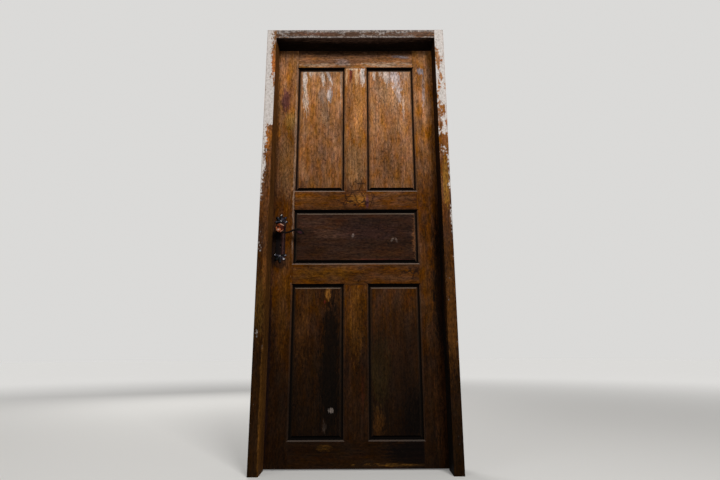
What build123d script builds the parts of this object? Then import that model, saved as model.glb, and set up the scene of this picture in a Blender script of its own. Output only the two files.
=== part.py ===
from build123d import *
import os
from math import cos, pi, radians, sin

# Panelled wooden door hung in its rebated frame, all sizes in millimetres.
# X runs to the right as seen from outside, Y runs into the building, Z is up.
# The origin is the middle of the doorway, on the sill, in the frame's front face.

# Doorway: the clear opening between the stops
opening_width = 800.0
opening_height = 2045.0

# Frame section
face_width = 45.0
leaf_recess = 110.0
seal_gap = 2.0
rebate_step = 12.0
frame_arris = 2.5

# Frame corner joints and wall fixings
jamb_tenon_height = 35.0
jamb_tenon_thickness = 20.0
jamb_tenon_width = 56.0
jamb_tenon_front = 28.0
peg_radius = 4.5
head_peg_length = 100.0
fixing_hole_radius = 3.5
fixing_inset = 340.0
fixing_depth = 54.0

# Leaf
leaf_thickness = 42.0
side_gap = 3.0
floor_gap = 6.0
stile_width = 111.0
muntin_width = 115.0
bottom_rail_height = 116.0
lower_panel_height = 680.0
cross_rail_height = 103.0
middle_panel_height = 260.0
top_rail_height = 111.0

# Joinery of the leaf
moulding = 6.0
groove_depth = 12.0
groove_width = 10.0
tongue_length = 10.0
wood_fit = 0.2
tenon_thickness = 14.0
haunch = 25.0
stub_tenon = 30.0
wedge_height = 5.0
wedge_length = 70.0

# Raised and fielded panels
field_margin = 9.0
field_bevel = 8.0
field_sink = 7.0

# Lift-off hinges with the knuckles on the inside: the frame's half below carries the pin
hinge_height = 100.0
hinge_plate = 2.5
hinge_flap_width = 36.0
hinge_knuckle_radius = 5.25
hinge_pin_radius = 2.5
hinge_pin_reach = 1.5
knuckle_count = 2
knuckle_gap = 0.3
hinge_running = 0.05
hinge_drive_fit = 0.01
hinge_sweep = 0.3
hinge_inset = 224.0
hinge_screw_pitch = 34.0
hinge_screw_row = 16.0
hinge_screw_stagger = 4.0

# Wood screws, one size for each place: head radius, shank radius, length
hinge_screw = (3.8, 2.0, 28.0)
plate_screw = (3.4, 1.7, 20.0)
strike_screw = (3.6, 1.9, 18.0)
screw_fit = 0.1
screw_rim = 0.2
fastener_flats = 6

# Lock set in the left stile
backset = 50.0
spindle_above_rail = 160.0
key_drop = 72.0
case_depth = 82.0
case_above = 35.0
case_below = 113.0
case_thickness = 16.0
case_wall = 1.5
case_fit = 0.4
forend_thickness = 3.0
forend_width = 22.0
forend_reach = 26.0
moving_gap = 0.3
spindle_width = 8.0
spindle_fit = 0.1

# Follower: the part of the lock that the spindle turns
follower_radius = 11.0
journal_radius = 8.0
journal_fit = 0.05
handle_turn = 35.0
latch_travel = 12.5
arm_tip_radius = 3.0
arm_web = 3.6

# Latch bolt
latch_rise = 20.0
latch_height = 16.0
latch_thickness = 11.0
latch_reach = 12.0
latch_head_length = 21.0
latch_nose = 2.0
latch_leg = 6.0
latch_bar = 3.5
spring_width = 8.0
spring_strip = 0.8
spring_hold = 40.0
spring_clear = 5.0

# Dead bolt, drawn back at rest
bolt_rise = 21.0
bolt_height = 28.0
bolt_thickness = 12.0
bolt_length = 70.0
bolt_throw = 14.0
guide_radius = 2.5
guide_inset = 47.0
talon_width = 14.0
talon_depth = 7.0
talon_side = 2.0

# Keyhole
key_round = 5.0
key_slot = 5.0
key_drop_length = 15.0

# Strike plate and the pockets behind it
strike_thickness = 2.5
strike_height = 180.0
strike_width = 32.0
pocket_depth = 17.0
pocket_gap = 1.0
strike_end = 10.0

# Handle plates: long plates with a palmette of petals at each end
plate_thickness = 3.0
plate_width = 44.0
plate_above = 46.0
plate_below = 124.0
petal_width = 17.0
petal_rise = 3.5
petal_rim = 0.6
petal_bevel = 3.6
petal_half = ((0.0, 0.0), (0.3, 0.36), (0.56, 0.5), (0.82, 0.34), (1.0, 0.0))
petal_angles = (-98, -50, 0, 50, 98)
petal_lengths = (32.0, 34.0, 38.0, 34.0, 32.0)
petal_core = 18.0
rosette_radius = 7.0

# Levers
lever_stand = 50.0
lever_thickness = 11.0
neck_radius = 10.0
neck_fit = 0.1
neck_hole_fit = 1.5
boss_radius = 22.0
boss_rise = 3.0
scroll_radius = 9.5
scroll_place = (-8.0, -11.0)
scroll_rise = 4.0
spindle_length = 92.0
grub_radius = 2.0
grub_length = 5.5
grub_stand = 12.0

# Lever's bar from the spindle's axis: each edge dips, rises over a crest and curls down to the tip
lever_top_edge = ((8.0, -14.0), (36.0, -18.5), (60.0, -10.0), (88.0, -1.0), (118.0, -26.0))
lever_low_edge = ((2.0, -22.0), (36.0, -25.0), (60.0, -17.5), (87.0, -8.5), (112.0, -29.0))
lever_leaf = ((70.0, -12.0), (83.0, -27.0), (103.0, -32.0), (113.0, -25.0), (116.0, -15.0))

os.makedirs("parts", exist_ok=True)

# Worked out from the sizes above
inner_x = opening_width / 2
outer_x = inner_x + face_width
rebate_x = inner_x + rebate_step
leaf_front = leaf_recess
leaf_back = leaf_recess + leaf_thickness
leaf_middle = (leaf_front + leaf_back) / 2
frame_depth = leaf_back
stop_depth = leaf_recess - seal_gap
head_top = opening_height + face_width
leaf_x = rebate_x - side_gap
leaf_bottom = floor_gap
leaf_top = opening_height + rebate_step - side_gap
panel_x = leaf_x - stile_width
muntin_x = muntin_width / 2

lower_bottom = leaf_bottom + bottom_rail_height
lower_top = lower_bottom + lower_panel_height
middle_bottom = lower_top + cross_rail_height
middle_top = middle_bottom + middle_panel_height
upper_bottom = middle_top + cross_rail_height
upper_top = leaf_top - top_rail_height

# Panel openings between the members: left, right, bottom, top
openings = {
    "upper_left": (-panel_x, -muntin_x, upper_bottom, upper_top),
    "upper_right": (muntin_x, panel_x, upper_bottom, upper_top),
    "middle": (-panel_x, panel_x, middle_bottom, middle_top),
    "lower_left": (-panel_x, -muntin_x, lower_bottom, lower_top),
    "lower_right": (muntin_x, panel_x, lower_bottom, lower_top),
}

lock_edge = -leaf_x
spindle_x = lock_edge + backset
spindle_height = middle_bottom + spindle_above_rail
key_height = spindle_height - key_drop
case_left = lock_edge + forend_thickness
case_right = case_left + case_depth
case_bottom = spindle_height - case_below
case_top = spindle_height + case_above
case_front = leaf_middle - case_thickness / 2
case_back = leaf_middle + case_thickness / 2
latch_middle = spindle_height + latch_rise
bolt_middle = key_height + bolt_rise
plate_top = spindle_height + plate_above
plate_bottom = spindle_height - plate_below

hinge_heights = {
    "lower": leaf_bottom + hinge_inset,
    "middle": (middle_bottom + middle_top) / 2,
    "upper": leaf_top - hinge_inset,
}
hinge_x = (rebate_x + leaf_x) / 2
hinge_y = frame_depth + hinge_knuckle_radius + hinge_running
flap_gap = side_gap / 6


def facing(y):
    """Upright plane at a depth, drawn in X and Z and facing outside."""
    return Plane(origin=(0, y, 0), x_dir=(1, 0, 0), z_dir=(0, -1, 0))


def level(z):
    """Flat plane at a height, drawn in X and Y."""
    return Plane.XY.offset(z)


def span(x0, x1, z0, z1):
    """A rectangle between two corners, in the sketch being drawn."""
    with Locations(((x0 + x1) / 2, (z0 + z1) / 2)):
        Rectangle(abs(x1 - x0), abs(z1 - z0))


def block(x, y, z, mode=Mode.ADD):
    """A squared block between (low, high) pairs, in the part being built."""
    with BuildSketch(facing(y[1])) as outline:
        span(x[0], x[1], z[0], z[1])
    extrude(outline.sketch, amount=y[1] - y[0], mode=mode)


def round_bar(centre_x, centre_z, radius, y0, y1, mode=Mode.ADD):
    """A round bar along Y, in the part being built."""
    with BuildSketch(facing(y1)) as outline:
        with Locations((centre_x, centre_z)):
            Circle(radius)
    extrude(outline.sketch, amount=y1 - y0, mode=mode)


def square_bar(width, y0, y1, mode=Mode.ADD):
    """The square spindle, or a hole for it, along Y."""
    half = width / 2
    block(
        (spindle_x - half, spindle_x + half),
        (y0, y1),
        (spindle_height - half, spindle_height + half),
        mode,
    )


def keyhole(y0, y1, mode=Mode.SUBTRACT):
    """A hole for the key's stem, with a slot below it for the bit."""
    with BuildSketch(facing(y1)) as outline:
        with Locations((spindle_x, key_height)):
            RegularPolygon(key_round, fastener_flats)
    extrude(outline.sketch, amount=y1 - y0, mode=mode)
    half = key_slot / 2
    block((spindle_x - half, spindle_x + half), (y0, y1), (key_height - key_drop_length, key_height), mode)


def wood_screw(size, grow=0.0):
    """A countersunk wood screw below the XY plane, or the plug of its hole, grown by a fit.

    It has flats in place of rounds, because small fasteners need no finer form.
    """
    head, shank, length = size
    sink = (head - shank) * cos(pi / fastener_flats)
    with BuildPart() as screw:
        with BuildSketch():
            RegularPolygon(head + grow, fastener_flats)
        extrude(amount=-sink - screw_rim)
        chamfer(screw.faces().sort_by(Axis.Z)[0].edges(), length=sink)
        with BuildSketch(level(-sink - screw_rim)):
            RegularPolygon(shank + grow, fastener_flats)
        extrude(amount=sink + screw_rim - length)
    return screw.part


def place_screws(screw, places, pointing, mode=Mode.ADD):
    """The same screw or hole at each place, its point along a direction, in the part being built."""
    across = (1, 0, 0) if pointing[0] == 0 else (0, 0, 1)
    out = tuple(-p for p in pointing)
    with Locations(*(Plane(origin=place, x_dir=across, z_dir=out) for place in places)):
        add(screw, mode=mode)


def peg(centre_x, centre_z, y0, y1, mode=Mode.ADD):
    """A riven peg along Y, or the hole for it."""
    with BuildSketch(facing(y1)) as outline:
        with Locations((centre_x, centre_z)):
            RegularPolygon(peg_radius, fastener_flats)
    extrude(outline.sketch, amount=y1 - y0, mode=mode)


# Tapered cuts that mould the members' edges round each opening, front and back
with BuildPart() as moulding_cuts:
    for x0, x1, z0, z1 in openings.values():
        for face, depth in ((leaf_front, moulding), (leaf_back, -moulding)):
            with BuildSketch(facing(face)):
                span(x0 - moulding, x1 + moulding, z0 - moulding, z1 + moulding)
            with BuildSketch(facing(face + depth)):
                span(x0, x1, z0, z1)
            loft()

# Grooves that the panels' tongues stand in
with BuildPart() as groove_cuts:
    for x0, x1, z0, z1 in openings.values():
        block(
            (x0 - groove_depth, x1 + groove_depth),
            (leaf_middle - groove_width / 2, leaf_middle + groove_width / 2),
            (z0 - groove_depth, z1 + groove_depth),
        )

# Through tenons of the rails: bottom and top of each
tenon_spans = {
    "top_rail": (upper_top + groove_depth, leaf_top - haunch),
    "upper_cross_rail": (middle_top + groove_depth, upper_bottom - groove_depth),
    "lower_cross_rail": (lower_top + groove_depth, middle_bottom - groove_depth),
    "bottom_rail": (leaf_bottom + haunch, lower_bottom - groove_depth),
}
rail_spans = {
    "top_rail": (upper_top, leaf_top),
    "upper_cross_rail": (middle_top, upper_bottom),
    "lower_cross_rail": (lower_top, middle_bottom),
    "bottom_rail": (leaf_bottom, lower_bottom),
}
tenon_y = (leaf_middle - tenon_thickness / 2, leaf_middle + tenon_thickness / 2)
mortise_y = (tenon_y[0] - wood_fit, tenon_y[1] + wood_fit)
stub_y = (leaf_middle - groove_width / 2 + wood_fit, leaf_middle + groove_width / 2 - wood_fit)
stub_x = muntin_x - groove_depth


def mortise_outline(side, low, high):
    """A through mortise that flares towards the stile's outer edge, to take two wedges."""
    edge = side * leaf_x
    start = edge - side * wedge_length
    with BuildLine() as outline:
        Polyline(
            (side * panel_x, low),
            (start, low),
            (edge, low - wedge_height),
            (edge, high + wedge_height),
            (start, high),
            (side * panel_x, high),
            close=True,
        )
    make_face(outline.edges())


def build_stile(side):
    """One stile, squared, grooved, moulded and mortised. Side is -1 for the left."""
    with BuildPart() as stile:
        block(sorted((side * panel_x, side * leaf_x)), (leaf_front, leaf_back), (leaf_bottom, leaf_top))
        add(groove_cuts.part, mode=Mode.SUBTRACT)
        add(moulding_cuts.part, mode=Mode.SUBTRACT)
        for low, high in tenon_spans.values():
            with BuildSketch(facing(mortise_y[1])):
                mortise_outline(side, low, high)
            extrude(amount=mortise_y[1] - mortise_y[0], mode=Mode.SUBTRACT)
    return stile.part


def build_rail(name, mortise_up, mortise_down):
    """One rail with a through tenon at each end, and mortises for the muntins above and below."""
    low, high = rail_spans[name]
    with BuildPart() as rail:
        block((-panel_x, panel_x), (leaf_front, leaf_back), (low, high))
        add(groove_cuts.part, mode=Mode.SUBTRACT)
        add(moulding_cuts.part, mode=Mode.SUBTRACT)
        block((-leaf_x, leaf_x), tenon_y, tenon_spans[name])
        muntin_y = (leaf_middle - groove_width / 2, leaf_middle + groove_width / 2)
        if mortise_up:
            block((-stub_x, stub_x), muntin_y, (high - stub_tenon, high), Mode.SUBTRACT)
        if mortise_down:
            block((-stub_x, stub_x), muntin_y, (low, low + stub_tenon), Mode.SUBTRACT)
    return rail.part


def build_muntin(low, high):
    """A middle upright between two rails, with a stub tenon at each end."""
    with BuildPart() as muntin:
        block((-muntin_x, muntin_x), (leaf_front, leaf_back), (low, high))
        add(groove_cuts.part, mode=Mode.SUBTRACT)
        add(moulding_cuts.part, mode=Mode.SUBTRACT)
        block((-stub_x, stub_x), stub_y, (low - stub_tenon + wood_fit, high + stub_tenon - wood_fit))
    return muntin.part


def build_panel(x0, x1, z0, z1):
    """A raised and fielded panel, fielded on both faces, its tongue standing in the lower groove."""
    with BuildPart() as panel:
        block(
            (x0 - tongue_length, x1 + tongue_length),
            stub_y,
            (z0 - groove_depth + wood_fit, z1 + tongue_length),
        )
        top = field_margin + field_bevel
        for base, field in ((stub_y[0], leaf_front + field_sink), (stub_y[1], leaf_back - field_sink)):
            with BuildSketch(facing(base)):
                span(x0 + field_margin, x1 - field_margin, z0 + field_margin, z1 - field_margin)
            with BuildSketch(facing(field)):
                span(x0 + top, x1 - top, z0 + top, z1 - top)
            loft()
    return panel.part


# Rails, muntins and panels
leaf_parts = {
    "top_rail": build_rail("top_rail", False, True),
    "upper_cross_rail": build_rail("upper_cross_rail", True, False),
    "lower_cross_rail": build_rail("lower_cross_rail", False, True),
    "bottom_rail": build_rail("bottom_rail", True, False),
    "upper_muntin": build_muntin(upper_bottom, upper_top),
    "lower_muntin": build_muntin(lower_bottom, lower_top),
}
for place, opening in openings.items():
    leaf_parts["panel_" + place] = build_panel(*opening)

# Wedges that spread the through tenons
with BuildPart() as tenon_wedges:
    for side in (-1, 1):
        edge = side * leaf_x
        start = edge - side * wedge_length
        for low, high in tenon_spans.values():
            with BuildSketch(facing(tenon_y[1])):
                with BuildLine():
                    Polyline((start, low), (edge, low), (edge, low - wedge_height), close=True)
                make_face()
                with BuildLine():
                    Polyline((start, high), (edge, high), (edge, high + wedge_height), close=True)
                make_face()
            extrude(amount=tenon_thickness)
leaf_parts["tenon_wedges"] = tenon_wedges.part


# Screws and their holes, one of each for each size
hinge_screw_shape, hinge_screw_hole = wood_screw(hinge_screw), wood_screw(hinge_screw, screw_fit)
plate_screw_shape, plate_screw_hole = wood_screw(plate_screw), wood_screw(plate_screw, screw_fit)
strike_screw_shape, strike_screw_hole = wood_screw(strike_screw), wood_screw(strike_screw, screw_fit)


# Hinge geometry, shared by the flaps, their recesses and their screws
def hinge_span(middle):
    return middle - hinge_height / 2, middle + hinge_height / 2


def knuckle_spans(middle):
    """Bottom and top of each knuckle, from the bottom up. The frame's flap has the odd ones."""
    low, high = hinge_span(middle)
    pitch = (high - low) / knuckle_count
    return [
        (low + i * pitch + knuckle_gap / 2, low + (i + 1) * pitch - knuckle_gap / 2)
        for i in range(knuckle_count)
    ]


frame_flap_x = (hinge_x + flap_gap / 2, hinge_x + flap_gap / 2 + hinge_plate)
leaf_flap_x = (hinge_x - flap_gap / 2 - hinge_plate, hinge_x - flap_gap / 2)
flap_y = (frame_depth - hinge_flap_width, frame_depth)


def hinge_screw_places(middle, x):
    """Heads of one flap's three screws, staggered, in the face that lies in the gap."""
    row = frame_depth - hinge_screw_row
    return [
        (x, row - hinge_screw_stagger * abs(n), middle + n * hinge_screw_pitch)
        for n in (-1, 0, 1)
    ]


def build_flap(middle, flap_x, mine):
    """One hinge flap: the plate and its own knuckles, rolled on the pin's axis."""
    low, high = hinge_span(middle)
    with BuildPart() as flap:
        block(flap_x, (flap_y[0], hinge_y), (low, high))
        for number, (bottom, top) in enumerate(knuckle_spans(middle)):
            own = (number % 2 == 0) == mine
            radius = hinge_knuckle_radius if own else hinge_knuckle_radius + hinge_sweep
            low_edge = bottom if own else bottom - knuckle_gap
            high_edge = top if own else top + knuckle_gap
            with BuildSketch(level(low_edge)):
                with Locations((hinge_x, hinge_y)):
                    Circle(radius)
            extrude(amount=high_edge - low_edge, mode=Mode.ADD if own else Mode.SUBTRACT)
        fit = hinge_drive_fit if mine else hinge_running
        with BuildSketch(level(low)):
            with Locations((hinge_x, hinge_y)):
                Circle(hinge_pin_radius + fit)
        extrude(amount=high - low, mode=Mode.SUBTRACT)
        gap_face = flap_x[0] if mine else flap_x[1]
        way = (1, 0, 0) if mine else (-1, 0, 0)
        place_screws(hinge_screw_hole, hinge_screw_places(middle, gap_face), way, Mode.SUBTRACT)
    return flap.part


frame_parts = {}
for place, middle in hinge_heights.items():
    frame_parts[f"hinge_{place}_frame_flap"] = build_flap(middle, frame_flap_x, True)
    leaf_parts[f"hinge_{place}_leaf_flap"] = build_flap(middle, leaf_flap_x, False)
    low, high = hinge_span(middle)
    with BuildPart() as hinge_pin:
        with BuildSketch(level(low - hinge_pin_reach)):
            with Locations((hinge_x, hinge_y)):
                Circle(hinge_pin_radius)
        extrude(amount=hinge_height + 2 * hinge_pin_reach)
    frame_parts[f"hinge_{place}_pin"] = hinge_pin.part

with BuildPart() as hinge_frame_screws:
    for middle in hinge_heights.values():
        place_screws(hinge_screw_shape, hinge_screw_places(middle, frame_flap_x[0]), (1, 0, 0))
frame_parts["hinge_frame_screws"] = hinge_frame_screws.part

with BuildPart() as hinge_leaf_screws:
    for middle in hinge_heights.values():
        place_screws(hinge_screw_shape, hinge_screw_places(middle, leaf_flap_x[1]), (-1, 0, 0))
leaf_parts["hinge_leaf_screws"] = hinge_leaf_screws.part

# Stiles: the right one takes the hinges, the left one the lock
forend_bottom = case_bottom - forend_reach
forend_top = case_top + forend_reach
forend_y = (leaf_middle - forend_width / 2, leaf_middle + forend_width / 2)
forend_screw_places = [
    (lock_edge, leaf_middle, forend_bottom + forend_reach / 2),
    (lock_edge, leaf_middle, forend_top - forend_reach / 2),
]
plate_front = leaf_front - plate_thickness
rosette_front = plate_front - petal_rise
plate_screw_places = [(spindle_x, rosette_front, z) for z in (plate_bottom, plate_top)]
inside_screw_places = [(x, 2 * leaf_middle - y, z) for x, y, z in plate_screw_places]
leaf_mirror = facing(leaf_middle)


with BuildPart() as stile_right:
    add(build_stile(1))
    for middle in hinge_heights.values():
        block((leaf_flap_x[0], leaf_x), (flap_y[0], leaf_back), hinge_span(middle), Mode.SUBTRACT)
        places = hinge_screw_places(middle, leaf_flap_x[1])
        place_screws(hinge_screw_hole, places, (-1, 0, 0), Mode.SUBTRACT)
leaf_parts["stile_right"] = stile_right.part

with BuildPart() as stile_left:
    add(build_stile(-1))
    block(
        (case_left, case_right + case_fit),
        (case_front - case_fit, case_back + case_fit),
        (case_bottom - case_fit, case_top + case_fit),
        Mode.SUBTRACT,
    )
    block(
        (lock_edge, case_left),
        (forend_y[0] - wood_fit, forend_y[1] + wood_fit),
        (forend_bottom - wood_fit, forend_top + wood_fit),
        Mode.SUBTRACT,
    )
    round_bar(spindle_x, spindle_height, neck_radius + neck_hole_fit, leaf_front, leaf_back, Mode.SUBTRACT)
    keyhole(leaf_front, leaf_back)
    place_screws(strike_screw_hole, forend_screw_places, (1, 0, 0), Mode.SUBTRACT)
    place_screws(plate_screw_hole, plate_screw_places, (0, 1, 0), Mode.SUBTRACT)
    place_screws(plate_screw_hole, inside_screw_places, (0, -1, 0), Mode.SUBTRACT)
leaf_parts["stile_left"] = stile_left.part

# Lock case: a tray with the follower's bearing, the bolt's guide post and the openings in its edge
inside_left = case_left + case_wall
inside_right = case_right - case_wall
inside_front = case_front + case_wall
inside_back = case_back - case_wall
latch_z = (latch_middle - latch_height / 2, latch_middle + latch_height / 2)
latch_y = (leaf_middle - latch_thickness / 2, leaf_middle + latch_thickness / 2)
bolt_z = (bolt_middle - bolt_height / 2, bolt_middle + bolt_height / 2)
bolt_y = (leaf_middle - bolt_thickness / 2, leaf_middle + bolt_thickness / 2)
guide_x = spindle_x - backset + guide_inset
spring_wall = inside_right - spring_strip / 2


def grown(pair, gap):
    return pair[0] - gap, pair[1] + gap


with BuildPart() as lock_case:
    block((case_left, case_right), (inside_front, case_back), (case_bottom, case_top))
    block(
        (inside_left, inside_right),
        (inside_front, inside_back),
        (case_bottom + case_wall, case_top - case_wall),
        Mode.SUBTRACT,
    )
    with BuildSketch(facing(inside_back)):
        with Locations((guide_x, bolt_middle)):
            RegularPolygon(guide_radius, fastener_flats)
    extrude(amount=inside_back - inside_front)
    block((case_left, inside_left), grown(latch_y, moving_gap), grown(latch_z, moving_gap), Mode.SUBTRACT)
    block((case_left, inside_left), grown(bolt_y, moving_gap), grown(bolt_z, moving_gap), Mode.SUBTRACT)
    round_bar(spindle_x, spindle_height, journal_radius + journal_fit, inside_back, case_back, Mode.SUBTRACT)
    keyhole(inside_back, case_back)
leaf_parts["lock_case"] = lock_case.part

with BuildPart() as lock_cover:
    block((case_left, case_right), (case_front, inside_front), (case_bottom, case_top))
    round_bar(spindle_x, spindle_height, journal_radius + journal_fit, case_front, inside_front, Mode.SUBTRACT)
    keyhole(case_front, inside_front)
leaf_parts["lock_cover"] = lock_cover.part

with BuildPart() as lock_forend:
    block((lock_edge, case_left), forend_y, (forend_bottom, forend_top))
    block((lock_edge, case_left), grown(latch_y, moving_gap), grown(latch_z, moving_gap), Mode.SUBTRACT)
    block((lock_edge, case_left), grown(bolt_y, moving_gap), grown(bolt_z, moving_gap), Mode.SUBTRACT)
    place_screws(strike_screw_hole, forend_screw_places, (1, 0, 0), Mode.SUBTRACT)
leaf_parts["lock_forend"] = lock_forend.part

with BuildPart() as forend_screws:
    place_screws(strike_screw_shape, forend_screw_places, (1, 0, 0))
leaf_parts["forend_screws"] = forend_screws.part

# Follower: its arm starts half the turn before upright, so that the latch moves evenly
half_turn = radians(handle_turn / 2)
arm_radius = latch_travel / 2 / sin(half_turn)
arm_tip = (spindle_x - arm_radius * sin(half_turn), spindle_height + arm_radius * cos(half_turn))
with BuildPart() as follower:
    with BuildSketch(facing(latch_y[1])):
        with Locations((spindle_x, spindle_height)):
            RegularPolygon(follower_radius, fastener_flats)
        with BuildLine():
            Line((spindle_x, spindle_height), arm_tip)
        trace(line_width=arm_web)
        with Locations(arm_tip):
            RegularPolygon(arm_tip_radius, fastener_flats)
    extrude(amount=latch_thickness)
    round_bar(spindle_x, spindle_height, journal_radius, case_front, case_back)
    square_bar(spindle_width + 2 * spindle_fit, case_front, case_back, Mode.SUBTRACT)

# Latch bolt: a bevelled head, a bar over the follower's arm, and the leg that the arm pushes
leg_left = arm_tip[0] + arm_tip_radius + moving_gap
head_right = lock_edge - latch_reach + latch_head_length
with BuildPart() as latch_bolt:
    nose = lock_edge - latch_reach
    with BuildSketch(level(latch_z[0])):
        with BuildLine():
            Polyline(
                (nose, latch_y[1]),
                (head_right, latch_y[1]),
                (head_right, latch_y[0]),
                (lock_edge - latch_nose, latch_y[0]),
                (nose, latch_y[1] - latch_nose),
                close=True,
            )
        make_face()
    extrude(amount=latch_height)
    block((head_right, leg_left + latch_leg), latch_y, (latch_z[1] - latch_bar, latch_z[1]))
    block((leg_left, leg_left + latch_leg), latch_y, (arm_tip[1] - arm_tip_radius, latch_z[1]))

# Bent strip spring from the case's wall, which keeps the latch out and the handle up
with BuildPart() as lock_spring:
    touch = leg_left + latch_leg + moving_gap + spring_strip / 2
    with BuildSketch(facing(leaf_middle + spring_width / 2)):
        with BuildLine():
            Polyline(
                (spring_wall, spindle_height - spring_hold),
                (spring_wall, spindle_height - spring_hold / 2),
                (spindle_x + follower_radius + spring_clear, spindle_height + spring_clear),
                (touch, latch_middle),
            )
        trace(line_width=spring_strip)
    extrude(amount=spring_width)
leaf_parts["lock_spring"] = lock_spring.part

# Dead bolt, slotted over the guide post and notched for the key
bolt_left = lock_edge
with BuildPart() as deadbolt:
    block((bolt_left, bolt_left + bolt_length), bolt_y, bolt_z)
    slot_left = guide_x - guide_radius - moving_gap
    slot_right = guide_x + guide_radius + moving_gap + bolt_throw
    slot_half = guide_radius + moving_gap
    block(
        (slot_left, slot_right),
        bolt_y,
        (bolt_middle - slot_half, bolt_middle + slot_half),
        Mode.SUBTRACT,
    )
    talon_left = spindle_x
    with BuildSketch(facing(bolt_y[1])):
        with BuildLine():
            Polyline(
                (talon_left, bolt_z[0]),
                (talon_left + talon_side, bolt_z[0] + talon_depth),
                (talon_left + talon_width - talon_side, bolt_z[0] + talon_depth),
                (talon_left + talon_width, bolt_z[0]),
                close=True,
            )
        make_face()
    extrude(amount=bolt_thickness, mode=Mode.SUBTRACT)


def petal(centre_z, turned, length):
    """A pointed leaf from a palmette's centre, in the sketch being drawn."""
    along = Vector(cos(radians(turned)), sin(radians(turned)))
    across = Vector(-along.Y, along.X)
    root = Vector(spindle_x, centre_z)
    left = [root + along * (length * u) + across * (petal_width * v) for u, v in petal_half]
    right = [root + along * (length * u) - across * (petal_width * v) for u, v in petal_half[-2:0:-1]]
    with BuildLine() as outline:
        Polyline(*left, *right, close=True)
    make_face(outline.edges())


def petal_relief(centre_z, turned, length):
    """The raised middle of a petal, bevelled down all round."""
    with BuildPart() as relief:
        with BuildSketch(facing(plate_front)):
            petal(centre_z, turned, length)
        extrude(amount=petal_rise)
        front_edges = relief.faces().sort_by(Axis.Y)[0].edges()
        chamfer(front_edges, length=petal_rise - petal_rim, length2=petal_bevel)
    return relief.part


# Handle plate: long, straight in the middle, with a palmette of raised petals at each end
palmettes = [
    (centre_z, up * 90 - angle, length)
    for centre_z, up in ((plate_top, 1), (plate_bottom, -1))
    for angle, length in zip(petal_angles, petal_lengths)
]
petal_reliefs = [petal_relief(*place) for place in palmettes]
with BuildPart() as plate_outside:
    with BuildSketch(facing(leaf_front)):
        span(spindle_x - plate_width / 2, spindle_x + plate_width / 2, plate_bottom, plate_top)
        with Locations((spindle_x, plate_bottom), (spindle_x, plate_top)):
            Circle(petal_core)
        for centre_z, turned, length in palmettes:
            petal(centre_z, turned, length)
    extrude(amount=plate_thickness)
    add(petal_reliefs)
    with BuildSketch(facing(plate_front)):
        with Locations((spindle_x, plate_bottom), (spindle_x, plate_top)):
            RegularPolygon(rosette_radius, fastener_flats)
    extrude(amount=petal_rise)
    round_bar(spindle_x, spindle_height, neck_radius, plate_front, leaf_front, Mode.SUBTRACT)
    keyhole(plate_front, leaf_front)
    place_screws(plate_screw_hole, plate_screw_places, (0, 1, 0), Mode.SUBTRACT)
leaf_parts["plate_outside"] = plate_outside.part
leaf_parts["plate_inside"] = mirror(plate_outside.part, about=leaf_mirror)

with BuildPart() as plate_screws:
    place_screws(plate_screw_shape, plate_screw_places, (0, 1, 0))
    place_screws(plate_screw_shape, inside_screw_places, (0, -1, 0))
leaf_parts["plate_screws"] = plate_screws.part

# Lever: a forged bar that dips under its scrolled boss, rises, and curls down into a leaf
lever_y = leaf_front - lever_stand
lever_front = lever_y - lever_thickness / 2
lever_back = lever_y + lever_thickness / 2
boss_front = lever_front - boss_rise
neck_end = case_front - moving_gap
grub_y = plate_front - grub_stand


def curled_edge(points):
    """Three arcs, each tangent to the next: the dip, the rise to the crest, and the curl to the tip."""
    start, dip, rise, crest, tip = points
    hollow = ThreePointArc(start, dip, rise)
    hump = TangentArc(rise, crest, tangent=hollow % 1)
    return TangentArc(crest, tip, tangent=hump % 1)


def lever_plane(y):
    """Upright plane whose middle is on the spindle's axis."""
    return Plane(origin=(spindle_x, y, spindle_height), x_dir=(1, 0, 0), z_dir=(0, -1, 0))


with BuildPart() as lever_outside:
    with BuildSketch(lever_plane(lever_back)):
        with BuildLine():
            curled_edge(lever_top_edge)
            curled_edge(lever_low_edge)
            Line(lever_top_edge[-1], lever_low_edge[-1])
            Line(lever_top_edge[0], lever_low_edge[0])
        make_face()
        with BuildLine():
            root, belly, low, side, shoulder = lever_leaf
            ThreePointArc(root, belly, low)
            ThreePointArc(low, side, shoulder)
            Line(shoulder, root)
        make_face()
    extrude(amount=lever_thickness)
    round_bar(spindle_x, spindle_height, boss_radius, boss_front, lever_back)
    round_bar(spindle_x, spindle_height, neck_radius - neck_fit, lever_back, neck_end)
    with BuildSketch(lever_plane(lever_front)):
        with Locations(scroll_place):
            Circle(scroll_radius)
    extrude(amount=boss_rise + scroll_rise)
    square_bar(spindle_width + 2 * spindle_fit, leaf_middle - spindle_length / 2, neck_end, Mode.SUBTRACT)
    with BuildSketch(level(spindle_height - neck_radius)):
        with Locations((spindle_x, grub_y)):
            RegularPolygon(grub_radius + screw_fit, fastener_flats)
    extrude(amount=neck_radius, mode=Mode.SUBTRACT)
handle_parts = {
    "lever_outside": lever_outside.part,
    "lever_inside": mirror(lever_outside.part, about=leaf_mirror),
    "follower": follower.part,
}

with BuildPart() as spindle:
    square_bar(spindle_width, leaf_middle - spindle_length / 2, leaf_middle + spindle_length / 2)
handle_parts["spindle"] = spindle.part

with BuildPart() as grub_screws:
    with BuildSketch(level(spindle_height - spindle_width / 2 - grub_length)):
        with Locations((spindle_x, grub_y), (spindle_x, 2 * leaf_middle - grub_y)):
            RegularPolygon(grub_radius, fastener_flats)
    extrude(amount=grub_length)
handle_parts["grub_screws"] = grub_screws.part

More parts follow.
